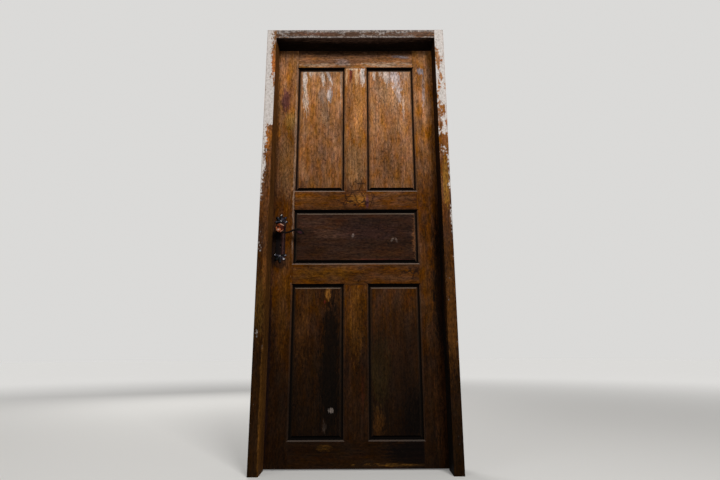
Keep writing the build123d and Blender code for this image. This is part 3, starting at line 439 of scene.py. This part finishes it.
# the shoulders of the joints show as thin dark lines on the ends of the rails and muntins
shoulder = {"wide": 4, "railShare": 1.8, "muntinLong": 190, "look": (0, "#1c0f08", 0.7, 0.2)}
stileEdge = round(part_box("stile_left")[1][0] / mm)
for name in ("top_rail", "upper_cross_rail", "lower_cross_rail", "bottom_rail"):
    low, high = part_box(name)
    middle, tall = (low[2] + high[2]) / 2 / mm, (high[2] - low[2]) / mm
    for edge in (stileEdge, -stileEdge):
        marks[name].append((edge, middle, shoulder["wide"], tall * shoulder["railShare"], *shoulder["look"]))
for name, above, below in (("upper_muntin", "top_rail", "upper_cross_rail"),
                           ("lower_muntin", "lower_cross_rail", "bottom_rail")):
    for railName, side in ((above, 0), (below, 1)):
        marks[name].append((0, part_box(railName)[side][2] / mm, shoulder["muntinLong"], shoulder["wide"],
                            *shoulder["look"]))
members = ["stile_left", "stile_right", "upper_muntin", "lower_muntin", "top_rail", "upper_cross_rail",
           "lower_cross_rail", "bottom_rail"]
panels = ["panel_upper_left", "panel_upper_right", "panel_middle", "panel_lower_left", "panel_lower_right"]
for index, name in enumerate(members + panels):
    upright = "rail" not in name and name != "panel_middle"
    tones, groove = ("panelTones", panelGroove) if name in panels else ("memberTones", memberGroove)
    dress(name, varnishedWood("varnished pine, " + name.replace("_", " "), leafWood[tones], "z" if upright else "x",
                              (index * 1.7, index * 0.4, index * 2.3), groove, marks[name], crazed.get(name, ())))
print("leaf dressed")

frameMarks = {
    "head": [(0, 2068, 1000, 70, 0, "#48372e", 0.9, 0.3), (-200, 2070, 160, 20, 0, "#6e4c3c", 0.6, 0.9)],
    "jamb_left": [(-410, 1880, 22, 170, 0, "#a8602c", 0.8, 0.6), (-420, 1500, 26, 120, 0, "#a5652c", 0.8, 0.6),
                  (-424, 1434, 44, 8, 0, "#3a2818", 0.8, 0.4), (-403, 300, 12, 700, 0, "#6a4416", 0.5, 0.6),
                  (-410, 850, 20, 300, 0, "#7a4a20", 0.5, 0.8), (-425, 700, 40, 260, 0, "#5c4014", 0.5, 0.9),
                  (-424, 500, 60, 1500, 0, "#241406", 0.3, 0.6)],
    "jamb_right": [(429, 1920, 20, 50, 0, "#84502e", 0.8, 0.5), (434, 1585, 20, 110, 0, "#8c5630", 0.8, 0.5),
                   (425, 1280, 30, 240, 0, "#8a6224", 0.6, 0.7), (420, 700, 60, 560, 0, "#50300f", 0.55, 0.7)],
}
# painted shade on the faces that look into the opening: tone, cover and facing; the left reveal brown, the rest near
# black
revealLight = {"jamb_left": ("#523417", 0.88, (1, 0, 0)), "jamb_right": ("#0e0a08", 0.93, (-1, 0, 0)),
           "head": ("#060606", 0.98, (0, 0, -1))}
for index, (name, (paintedShade, shadeCover, way)) in enumerate(revealLight.items()):
    dress(name, varnishedWood("weathered pine, " + name.replace("_", " "), leafWood["frameTones"],
                              "x" if name == "head" else "z", (index * 3.1, 4.2, index * 1.9),
                              {"reveal": way, "shadeCover": shadeCover, "paintedShade": paintedShade, "front": (0, 50)}, frameMarks[name]))


def latticeNoise(u, v, seed):
    # random numbers on a unit lattice, joined by the smooth step 3t2 - 2t3 along each way
    table = np.random.default_rng(seed).random((int(u.max()) + 3, int(v.max()) + 3))
    i, j = np.floor(u).astype(int), np.floor(v).astype(int)
    s, t = u - i, v - j
    s, t = s * s * (3 - 2 * s), t * t * (3 - 2 * t)
    low = table[i, j] * (1 - s) + table[i + 1, j] * s
    high = table[i, j + 1] * (1 - s) + table[i + 1, j + 1] * s
    return low * (1 - t) + high * t


# sizes in mm: grid steps across and along the member, the film's height where bare, the paint's own thickness, and
# how deep the sheet's rim is sunk into the wood; uneven is the least of the thickness, and what a flake adds
paintLayer = {
    "across": 1.8, "along": 3.0, "bare": 0.06, "thick": 0.6, "buried": 0.4, "opening": 400, "faceWide": 45,
    "patchWide": 14, "patchLong": 48, "flake": 5.0, "flakeLong": 1.6, "fineShare": 1.7, "shares": (0.5, 0.32, 0.18),
    "sharp": 9.0, "sharpFrom": 0.35, "spread": 0.3, "stain": 12.5, "uneven": (0.8, 0.4),
    # each sheet's x from and to, its z from and to, the levels it follows and the seed of its noise
    "sheets": {"paintLeft": (-445, -400, 0, 2090, "left", 11), "paintRight": (400, 445, 0, 2090, "right", 23),
               "paintHead": (-400, 400, 2045, 2090, "head", 37)},
    # the paint's level by height, on the outer and the inner side of the face
    "left": [(2100, 0.9, 0.62), (2000, 0.85, 0.5), (1850, 0.9, 0.45), (1800, 0.95, 0.85), (1590, 0.92, 0.85),
             (1560, 0.88, 0.25), (1440, 0.8, 0.1), (1300, 0.62, 0.06), (1150, 0.34, 0.05), (900, 0.2, 0.05),
             (500, 0.16, 0.08), (0, 0.12, 0.05)],
    "right": [(2100, 0.85, 0.75), (1960, 0.75, 0.6), (1900, 0.8, 0.5), (1860, 0.88, 0.8), (1760, 0.68, 0.52),
              (1660, 0.72, 0.6), (1630, 0.76, 0.55), (1560, 0.72, 0.5), (1530, 0.72, 0.56), (1420, 0.62, 0.3),
              (1370, 0.5, 0.1), (1200, 0.42, 0.08), (1000, 0.25, 0.1), (500, 0.2, 0.08), (0, 0.15, 0.05)],
    "head": [(2090, 0.68, 0.68), (2080, 0.56, 0.56), (2072, 0.36, 0.36), (2058, 0.32, 0.32), (2052, 0.62, 0.62),
             (2045, 0.7, 0.7)],
    # places worn bare: x, z, width, height, and how much they take from the level
    "bareSpots": [(-409, 1900, 18, 90, 0.5), (-404, 1800, 10, 60, 0.4), (-404, 2000, 8, 60, 0.3),
                  (412, 1910, 18, 90, 0.42), (424, 1830, 12, 50, 0.35), (436, 1640, 14, 60, 0.4),
                  (413, 1570, 20, 50, 0.4), (430, 1480, 20, 90, 0.35)],
    "jambTones": ("#6d5a4c", "#b4aca6", "#cbc4bf"), "headTones": ("#2a221f", "#4e4440", "#a0968f"),
}


def paintedFace(name, x0, x1, z0, z1, levels, seed):
    # a sheet over the frame's front: its height above the wood is the bare film plus the paint's cover times its
    # thickness, and cover is the level at that height, outer side to inner side, less a streaked noise, sharpened
    # and cut to 0..1
    lengthwise = (z1 - z0) > (x1 - x0)
    steps = (paintLayer["across"], paintLayer["along"])
    stepX, stepZ = steps if lengthwise else steps[::-1]
    x = np.linspace(x0, x1, int((x1 - x0) / stepX) + 1)
    z = np.linspace(z0, z1, int((z1 - z0) / stepZ) + 1)
    x, z = np.meshgrid(x, z, indexing="ij")
    heights, outer, inner = (np.array(column)[::-1] for column in zip(*levels))
    side = (np.abs(x) - paintLayer["opening"]) / paintLayer["faceWide"]
    level = np.interp(z, heights, inner) * (1 - side) + np.interp(z, heights, outer) * side
    for spotX, spotZ, wide, high, loss in paintLayer["bareSpots"]:
        level = level - loss * np.exp(-((x - spotX) / wide * 2) ** 2 - ((z - spotZ) / high * 2) ** 2)
    long, wide = (z - z0, x - x0) if lengthwise else (x - x0, z - z0)
    size, fineShare = paintLayer["flake"], paintLayer["fineShare"]
    patch = latticeNoise(long / paintLayer["patchLong"], wide / paintLayer["patchWide"], seed)
    flake = latticeNoise(long / size / paintLayer["flakeLong"], wide / size, seed + 1)
    fine = latticeNoise(long / size * fineShare, wide / size * fineShare, seed + 2)
    noise = sum(share * part for share, part in zip(paintLayer["shares"], (patch, flake, fine)))
    sharp = paintLayer["sharp"] * (paintLayer["sharpFrom"] + level)
    cover = np.clip((level - noise) * sharp + paintLayer["spread"], 0, 1)
    least, more = paintLayer["uneven"]
    rise = paintLayer["bare"] + cover * paintLayer["thick"] * (least + more * flake)
    edge = np.zeros_like(x, bool)
    edge[0], edge[-1], edge[:, 0], edge[:, -1] = True, True, True, True
    y = np.where(edge, paintLayer["buried"], -rise)
    count, rows = x.shape
    first = (np.arange(count - 1)[:, None] * rows + np.arange(rows - 1)).ravel()
    faces = np.stack([first, first + rows, first + rows + 1, first + 1], 1).tolist()
    # the back is a strip of long faces between the two sides, so that the sheet is closed
    last = (count - 1) * rows
    faces += [[last + j, j, j + 1, last + j + 1] for j in range(1, rows - 2)]
    faces.append(list(range(0, last + 1, rows))[::-1] + [1, last + 1])
    faces.append([rows - 2] + list(range(rows - 1, last + rows, rows)) + [last + rows - 2])
    mesh = bpy.data.meshes.new(name)
    mesh.from_pydata((np.stack([x, y, z], 2).reshape(-1, 3) * mm).tolist(), [], faces)
    mesh.attributes.new("paint", "FLOAT", "POINT").data.foreach_set("value", cover.ravel().astype(np.float32))
    mesh.shade_smooth()
    return mesh


def flakingPaint(name, base, dirty, tone, bright):
    # lime white paint, brittle and matt: it lies in islands on the wood that the sheet's own attribute marks out
    material = base.copy()
    material.name = name
    tree = material.node_tree
    shader = next(n for n in tree.nodes if n.bl_idname == "ShaderNodeBsdfPrincipled")
    wood = shader.inputs["Base Color"].links[0].from_socket
    place = addNode(tree, "TexCoord").outputs["Object"]
    cover = addNode(tree, "Attribute", attribute_name="paint").outputs["Fac"]
    grey = addNode(tree, "TexNoise", {"Vector": place, "Scale": 1 / (paintLayer["stain"] * mm),
                   "Detail": 5.0, "Roughness": 0.8}).outputs[0]
    paint = addNode(tree, "ValToRGB", (grey,), [(0.3, dirty), (0.43, tone), (0.6, bright)]).outputs[0]
    colour = addNode(tree, "Mix", {0: cover, 6: wood, 7: paint}, data_type="RGBA").outputs[2]
    tree.links.new(colour, shader.inputs["Base Color"])
    return material


for name, (*box, levels, seed) in paintLayer["sheets"].items():
    node = "head" if levels == "head" else "jamb_" + levels
    wood = nodes[node].material_slots[0].material
    tones = paintLayer["headTones" if levels == "head" else "jambTones"]
    mesh = paintedFace(name, *box, paintLayer[levels], seed)
    keepObject(name, mesh, "frame", flakingPaint("flaking lime paint, " + levels, wood, *tones))
print("frame dressed")


def closedMesh(name, parts, bodyName, material, mirrored=False):
    # joins closed shells of (points, faces); each is turned outwards by the sign of its volume
    allPoints, allFaces, start = [], [], 0
    for points, faces in parts:
        points = np.array(points, float).reshape(-1, 3)
        if mirrored:
            points = points * (1, -1, 1) + (0, 2 * leafMiddle, 0)
        first, other = [], []
        for face in faces:
            first += [face[0]] * (len(face) - 2)
            other += [(face[k], face[k + 1]) for k in range(1, len(face) - 1)]
        other = np.array(other)
        volume = np.einsum("ij,ij->i", points[first], np.cross(points[other[:, 0]], points[other[:, 1]])).sum()
        faces = [list(f)[::-1] if volume < 0 else list(f) for f in faces]
        allFaces += [[i + start for i in f] for f in faces]
        allPoints.append(points * mm)
        start += len(points)
    mesh = bpy.data.meshes.new(name)
    mesh.from_pydata(np.concatenate(allPoints).tolist(), [], allFaces)
    mesh.shade_smooth()
    return keepObject(name, mesh, bodyName, material)


def throughPoints(points, steps):
    # Catmull-Rom: the curve passes each point along the line between its neighbours
    points = np.array(points, float)
    padded = np.concatenate([[2 * points[0] - points[1]], points, [2 * points[-1] - points[-2]]])
    place = np.linspace(0, len(points) - 1, steps)
    i = np.minimum(place.astype(int), len(points) - 2)
    t = (place - i)[:, None]
    a, b, c, d = (padded[i + k] for k in range(4))
    return 0.5 * (2 * b + (c - a) * t + (2 * a - 5 * b + 4 * c - d) * t ** 2 + (3 * b - a - 3 * c + d) * t ** 3)


def ringFaces(rings, around):
    # quads between neighbouring rings, and one face on each end
    i, j = np.meshgrid(np.arange(rings - 1), np.arange(around), indexing="ij")
    here, there = i * around + j, i * around + (j + 1) % around
    quads = np.stack([here, there, there + around, here + around], 2).reshape(-1, 4).tolist()
    return quads + [list(range(around))[::-1], list(range((rings - 1) * around, rings * around))]


def turned(profile, centreX, centreZ, around=64, steps=60):
    # a turned form: radius and y carried round an axis along Y
    line = throughPoints(profile, steps)
    angle = np.linspace(0, 2 * math.pi, around, endpoint=False)
    radius = np.maximum(line[:, 0:1], 0.05)
    points = np.stack([centreX + radius * np.cos(angle), np.repeat(line[:, 1:2], around, 1),
                       centreZ + radius * np.sin(angle)], 2)
    return points, ringFaces(steps, around)


def drawnBar(rows, around=28, steps=110, hollow=None):
    # a forged bar: rows of x, y, z, half height, half depth; each section is an ellipse square to the path's x-z line
    line = throughPoints(rows, steps)
    way = np.gradient(line[:, [0, 2]], axis=0)
    way /= np.linalg.norm(way, axis=1)[:, None]
    angle = np.linspace(0, 2 * math.pi, around, endpoint=False)
    up, front = np.cos(angle), np.sin(angle)
    high, deep = np.maximum(line[:, 3:4], 0.1), np.maximum(line[:, 4:5], 0.1)
    x = line[:, 0:1] - way[:, 1:2] * high * up
    z = line[:, 2:3] + way[:, 0:1] * high * up
    y = line[:, 1:2] - deep * front
    if hollow:
        # the front is dished, and a rib runs along its middle
        dish, rib = (hollow[key] * np.exp(-(up / hollow[key + "Wide"]) ** 2) for key in ("dish", "rib"))
        y = y + (front > 0) * deep * (dish - rib)
    return np.stack([x, y, z], 2), ringFaces(steps, around)


# in mm: x and z place the spindle, and the parts' own x and z start from it; a profile is radius and y
handle = {
    "x": -359, "z": 1065,
    "boss": [(0, 51.5), (9, 51.6), (15, 52.4), (18.5, 54.2), (20.2, 56.6), (21.8, 59.2), (22, 61.6), (20.4, 64.2),
             (16, 65.6), (9, 67.2), (0, 67.6)],
    "neck": [(0, 60), (12, 62), (12, 66.6), (10.2, 69), (9.9, 74), (9.9, 98), (9.9, 122.7), (0, 122.7)],
    "bossPlace": (5, 1.5),
    "eye": [(0, 47.5), (3, 47.6), (5.6, 48.3), (7.8, 49.8), (9.2, 52.0), (9.4, 54.5), (8, 57), (0, 57)],
    "eyePlace": (-4, -9.5),
    "bar": [(-2, 60, -17, 4.6, 5.4), (12, 60, -20.4, 4.4, 5.3), (24, 60, -22.2, 4.1, 5.0), (36, 60, -21.8, 3.9, 4.8),
            (48, 60, -18.4, 4.0, 4.8), (60, 60, -13.4, 4.3, 4.9), (72, 60, -8.2, 4.7, 5.2), (84, 60, -5.2, 4.9, 5.3),
            (96, 60, -7.6, 4.6, 4.9), (106, 60, -14.4, 3.8, 4.2), (112.5, 60, -21.6, 2.7, 3.2),
            (116, 60, -27, 1.0, 1.4)],
    "leaf": [(68, 60, -12.5, 1.2, 1.8), (76, 60, -14.5, 4.8, 3.6), (85, 60, -16.6, 8.6, 4.4), (94, 60, -19, 10.6, 4.6),
             (102, 60, -21.4, 9.6, 4.2), (109, 60, -24, 6.4, 3.4), (114, 60, -26.4, 3.0, 2.4),
             (117, 60, -28, 0.8, 1.2)],
    "leafFront": {"dish": 0.7, "dishWide": 0.5, "rib": 0.9, "ribWide": 0.13},
    "scrollStart": -75, "scrollTurns": 1.35, "scrollOut": 19.5, "scrollIn": 8.5, "scrollThick": 3.0,
    "scrollEnd": 0.35, "scrollFlat": 0.9, "scrollFront": 50.9, "scrollRise": 2.2,
}


def scrollBand():
    # a rolled band round the eye: an Archimedes spiral whose radius shrinks evenly with the angle, thinner at its
    # ends and rising to the front
    t = np.linspace(0, 1, 24)
    angle = math.radians(handle["scrollStart"]) + t * handle["scrollTurns"] * 2 * math.pi
    radius = handle["scrollOut"] + (handle["scrollIn"] - handle["scrollOut"]) * t
    (x0, z0), (x1, z1) = handle["bossPlace"], handle["eyePlace"]
    x = x0 + (x1 - x0) * t + radius * np.cos(angle)
    z = z0 + (z1 - z0) * t + radius * np.sin(angle)
    end = handle["scrollEnd"]
    thick = handle["scrollThick"] * (end + (1 - end) * np.sin(math.pi * (t * 0.9 + 0.08)))
    y = handle["scrollFront"] + handle["scrollRise"] * (1 - t)
    return np.stack([x, y, z, thick, thick * handle["scrollFlat"]], 1)


# wrought iron blacked and waxed: near black with maroon and green bloom; the boss has lost its black to rust. Sizes
# are in mm, a cloud's and a pit's from how many there are to the metre, and marks start from the spindle
wroughtIron = {
    "roughness": 0.5, "gloss": 0.04, "cloud": 1000 / 90, "pit": 1000 / 420, "relief": 0.35, "reliefDepth": 0.3,
    "black": [(0.3, "#060303"), (0.45, "#120706"), (0.55, "#080c08"), (0.7, "#1c0a0c")],
    "rustBack": 68, "rustFront": 85.5, "rustRag": 4,
    # the rust's tones from the back to the front: the dark back is painted shade, the cream front a painted highlight
    "rust": [(0.0, "#34140a"), (0.4, "#6a2a14"), (0.68, "#8e3e1e"), (0.79, "#421608"), (0.86, "#94451f"),
             (0.94, "#ae6a48"), (1.0, "#d8b09a")],
    "patina": [(0.35, "#6c5a50"), (0.62, "#ffffff")],
    "leafMark": (97, -21, 30, 15, 15, "#3a1c22", 0.7, 0.3),
    # on the boss: two pale strokes are painted highlights, a dark slit by the eye and a dark stroke painted shade
    "bossHighlightsAndShade": [(13, 17, 32, 11, 28, "#ca9c84", 0.85, 0.3), (13, -15, 22, 6, -30, "#bc8468", 0.55, 0.3),
                  (-6, 6, 24, 5, 14, "#140604", 0.95, 0.2), (12, -3, 5, 20, 20, "#2c0e06", 0.7, 0.3)],
    "bossWide": 48, "bossRag": 0.35, "bossEdge": (1.18, 1.02),
}
# cast iron under worn black paint: the raised petals are rubbed to pewter, partly a painted highlight, the hollows stay
# black brown, in tones across the plate from left to right: painted shade at the left, a painted highlight near the
# right
castIron = {
    "roughness": 0.5, "gloss": 0.05, "cloud": 1000 / 110, "relief": 0.4, "reliefDepth": 0.5,
    "left": -381, "right": -337, "rag": 0.3, "raisedFrom": 25.6, "raisedTo": 27.6,
    # the tones run from left to right: dark at the left is painted shade, the pale stop near the right a painted
    # highlight
    "sunkWithPaintedLight": [(0.2, "#080404"), (0.62, "#120907"), (0.84, "#2a1410"), (0.92, "#48302c"), (1.0, "#241414")],
    "raised": [(0.36, "#060807"), (0.48, "#1a1e1c"), (0.55, "#2e2a3c"), (0.6, "#5e5c66"), (0.67, "#c4c0bc")],
    # a painted highlight on the top petal's tip
    "tipHighlight": (0, 81, 11, 12, 0, "#e6e2dc", 0.95, 0.3),
}


def fromSpindle(mark):
    # the same mark, placed on the door
    return (handle["x"] + mark[0], handle["z"] + mark[1], *mark[2:])


def forgedIron(values):
    # black all over, and rust inside a ragged circle round the spindle, its depth tones and marks painted highlight and
    # shade
    material, tree, shader = newMaterial("blacked iron, rusted at the boss", values["roughness"], gloss=values["gloss"])
    place = addNode(tree, "TexCoord").outputs["Object"]
    cloud = addNode(tree, "TexNoise", {"Vector": place, "Scale": 1 / (values["cloud"] * mm), "Detail": 4.0}).outputs[0]
    dark = addNode(tree, "ValToRGB", (cloud,), values["black"]).outputs[0]
    dark = layMark(tree, dark, place, cloud, fromSpindle(values["leafMark"]))
    front = addNode(tree, "Math", (cloud, values["rustRag"] * mm, fromLeafMiddle(tree, place)),
                    operation="MULTIPLY_ADD").outputs[0]
    front = addNode(tree, "MapRange", (front, values["rustBack"] * mm, values["rustFront"] * mm)).outputs[0]
    rust = addNode(tree, "ValToRGB", (front,), values["rust"]).outputs[0]
    patina = addNode(tree, "ValToRGB", (cloud,), values["patina"]).outputs[0]
    rust = addNode(tree, "Mix", {0: 1.0, 6: rust, 7: patina}, data_type="RGBA", blend_type="MULTIPLY").outputs[2]
    for mark in values["bossHighlightsAndShade"]:
        rust = layMark(tree, rust, place, cloud, fromSpindle(mark))
    away = fromSpot(tree, place, handle["x"], handle["z"], values["bossWide"], values["bossWide"])
    away = addNode(tree, "Math", (cloud, values["bossRag"], away), operation="MULTIPLY_ADD").outputs[0]
    share = addNode(tree, "MapRange", (away, *values["bossEdge"])).outputs[0]
    colour = addNode(tree, "Mix", {0: share, 6: dark, 7: rust}, data_type="RGBA").outputs[2]
    pits = addNode(tree, "TexNoise", {"Vector": place, "Scale": 1 / (values["pit"] * mm), "Detail": 3.0}).outputs[0]
    finishSurface(tree, shader, colour, pits, values["relief"], values["reliefDepth"])
    return material


def plateIron(values):
    # dark tones across the plate with painted shade and highlight, and the raised petals' own tones over them
    material, tree, shader = newMaterial("cast iron, petals rubbed to pewter", values["roughness"],
                                         gloss=values["gloss"])
    place = addNode(tree, "TexCoord").outputs["Object"]
    cloud = addNode(tree, "TexNoise", {"Vector": place, "Scale": 1 / (values["cloud"] * mm), "Detail": 4.0}).outputs[0]
    across = addNode(tree, "SeparateXYZ", (place,)).outputs[0]
    across = addNode(tree, "MapRange", (across, values["left"] * mm, values["right"] * mm)).outputs[0]
    across = addNode(tree, "Math", (cloud, values["rag"], across), operation="MULTIPLY_ADD").outputs[0]
    dark = addNode(tree, "ValToRGB", (across,), values["sunkWithPaintedLight"]).outputs[0]
    worn = addNode(tree, "ValToRGB", (cloud,), values["raised"]).outputs[0]
    worn = layMark(tree, worn, place, cloud, fromSpindle(values["tipHighlight"]))
    raised = addNode(tree, "MapRange", (fromLeafMiddle(tree, place), values["raisedFrom"] * mm,
                     values["raisedTo"] * mm)).outputs[0]
    colour = addNode(tree, "Mix", {0: raised, 6: dark, 7: worn}, data_type="RGBA").outputs[2]
    finishSurface(tree, shader, colour, cloud, values["relief"], values["reliefDepth"])
    return material


forged, cast = forgedIron(wroughtIron), plateIron(castIron)
spindle = np.array([handle["x"], 0, handle["z"]])
leverParts = [(points + spindle, faces) for points, faces in (
    turned(handle["boss"], *handle["bossPlace"], steps=44), turned(handle["neck"], 0, 0, around=48, steps=32),
    turned(handle["eye"], *handle["eyePlace"], around=40, steps=40), drawnBar(handle["bar"]),
    drawnBar(handle["leaf"], around=48, hollow=handle["leafFront"]), drawnBar(scrollBand(), around=18, steps=120))]
for name, side in (("leverOutsideForged", "lever_outside"), ("leverInsideForged", "lever_inside")):
    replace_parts(closedMesh(name, leverParts, "handle", forged, side == "lever_inside"), side)

# veins down the petals and a bead along each long side of the plates, in mm; a vein's places are shares of the
# petal's length and of the vein's width, a bead's are heights and shares of its width
trim = {"angles": (-98, -50, 0, 50, 98), "lengths": (32, 34, 38, 34, 32), "top": 1111, "bottom": 941, "face": 103.6,
        "vein": [(0.2, 0.7), (0.35, 1.0), (0.55, 0.9), (0.75, 0.6), (0.88, 0.2)], "veinWide": 1.5, "veinFlat": 0.6,
        "bead": [(957, 0.4), (962, 1), (1026, 1), (1090, 1), (1095, 0.4)], "beadX": 19.6, "beadFace": 107.2,
        "beadWide": 1.7}
trimParts = []
for centreZ, up in ((trim["top"], 1), (trim["bottom"], -1)):
    for angle, length in zip(trim["angles"], trim["lengths"]):
        alongX, alongZ = math.sin(math.radians(angle)) * length, math.cos(math.radians(angle)) * up * length
        rows = [(handle["x"] + alongX * u, trim["face"], centreZ + alongZ * u, trim["veinWide"] * w,
                 trim["veinWide"] * w * trim["veinFlat"]) for u, w in trim["vein"]]
        trimParts.append(drawnBar(rows, around=12, steps=24))
for side in (-1, 1):
    rows = [(handle["x"] + side * trim["beadX"], trim["beadFace"], z, trim["beadWide"] * w, trim["beadWide"] * w)
            for z, w in trim["bead"]]
    trimParts.append(drawnBar(rows, around=14, steps=60))
for name, back in (("plateTrimOutside", False), ("plateTrimInside", True)):
    closedMesh(name, trimParts, "leaf", cast, back)
for side in ("plate_outside", "plate_inside"):
    dress(side, cast)
print("handle forged")

# the lock's strip spring: a flat bar bent along a path from its foot in the case to its tip at the latch bolt
spring = {"path": [(-325.9, 1025), (-325.9, 1044), (-327.2, 1047.4), (-341.6, 1068.2), (-344.2, 1071.4),
                   (-355.25, 1085)],
          "wide": 8, "thick": 0.8, "round": 0.15, "footAt": 1045, "tipAt": 1085}


def bentStrip(values, steps=90):
    # the path is sampled evenly between its corners; each section is a flat bar with its four edges taken off
    path = np.array(values["path"], float)
    length = np.concatenate([[0], np.cumsum(np.linalg.norm(np.diff(path, axis=0), axis=1))])
    at = np.linspace(0, length[-1], steps)
    line = np.stack([np.interp(at, length, path[:, 0]), np.interp(at, length, path[:, 1])], 1)
    way = np.gradient(line, axis=0)
    way /= np.linalg.norm(way, axis=1)[:, None]
    half, deep, cut = values["thick"] / 2, values["wide"] / 2, values["round"]
    out = np.array([half, half, half - cut, cut - half, -half, -half, cut - half, half - cut])
    side = np.array([cut - deep, deep - cut, deep, deep, deep - cut, cut - deep, -deep, -deep])
    points = np.stack([line[:, 0:1] - way[:, 1:2] * out, np.repeat([leafMiddle + side], steps, 0),
                       line[:, 1:2] + way[:, 0:1] * out], 2)
    return points, ringFaces(steps, 8)


springPiece = closedMesh("lockSpringStrip", [bentStrip(spring)], None, None)
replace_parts(springPiece, "lock_spring")
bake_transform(springPiece)

# each fitting's material: tones, size in mm along X, Y and Z of its brushing, casting skin or plating, roughness,
# metallic and relief
fittings = {
    # cold rolled steel, dulled and spotted with rust
    "hinge_steel": ("dulled hinge steel, rust spots",
                    [(0.3, "#3a342e"), (0.5, "#6c6258"), (0.62, "#7c5a3c"), (0.7, "#8a8076")],
                    (6, 6, 9), 0.5, 0.8, 0.3),
    # sheet steel brushed lengthwise, lightly oiled
    "lock_steel": ("brushed lock steel", [(0.3, "#5a5853"), (0.5, "#8a8780"), (0.7, "#a8a49a")],
                   (1.2, 1.2, 14), 0.36, 0.9, 0.2),
    # turned screws, zinc gone grey
    "screw_steel": ("grey zinc screws", [(0.3, "#4c4a46"), (0.5, "#76736c"), (0.7, "#97938a")],
                    (1.5, 1.5, 1.5), 0.42, 0.85, 0.2),
    # oak cut across: close pores, darker than the pine
    "joint_wood": ("oak pegs and wedges, end grain", [(0.3, "#2a190d"), (0.5, "#5a3a20"), (0.7, "#7a5434")],
                   (1.6, 1.6, 1.6), 0.7, 0.0, 0.5),
    # the case under the wood: dark, oily, never polished
    "case": ("dark oiled case steel", [(0.3, "#1c1a18"), (0.5, "#2e2b28"), (0.7, "#45403a")],
             (4, 4, 9), 0.5, 0.6, 0.3),
}
fittingDepth = 0.2  # mm, the height of a fitting's relief


def fittingMaterial(name, tones, grain, roughness, metallic, relief):
    # one noise between the tones and for the relief
    material, tree, shader = newMaterial(name, roughness, metallic)
    place = addNode(tree, "TexCoord").outputs["Object"]
    scale = tuple(1 / size / mm for size in grain)
    spot = addNode(tree, "Mapping", {"Vector": place, "Scale": scale}).outputs[0]
    noise = addNode(tree, "TexNoise", {"Vector": spot, "Scale": 1.0, "Detail": 4.0, "Roughness": 0.65}).outputs[0]
    colour = addNode(tree, "ValToRGB", (noise,), tones).outputs[0]
    finishSurface(tree, shader, colour, noise, relief, fittingDepth)
    return material


finishes = {key: fittingMaterial(*values) for key, values in fittings.items()}
springPiece.data.materials.append(finishes["lock_steel"])
for name in nodes:
    slotName = nodes[name].material_slots[0].material.name.split(".")[0]
    if slotName in finishes:
        dress(name, finishes["case" if name in ("lock_case", "lock_cover") else slotName])
print("ironmongery dressed")
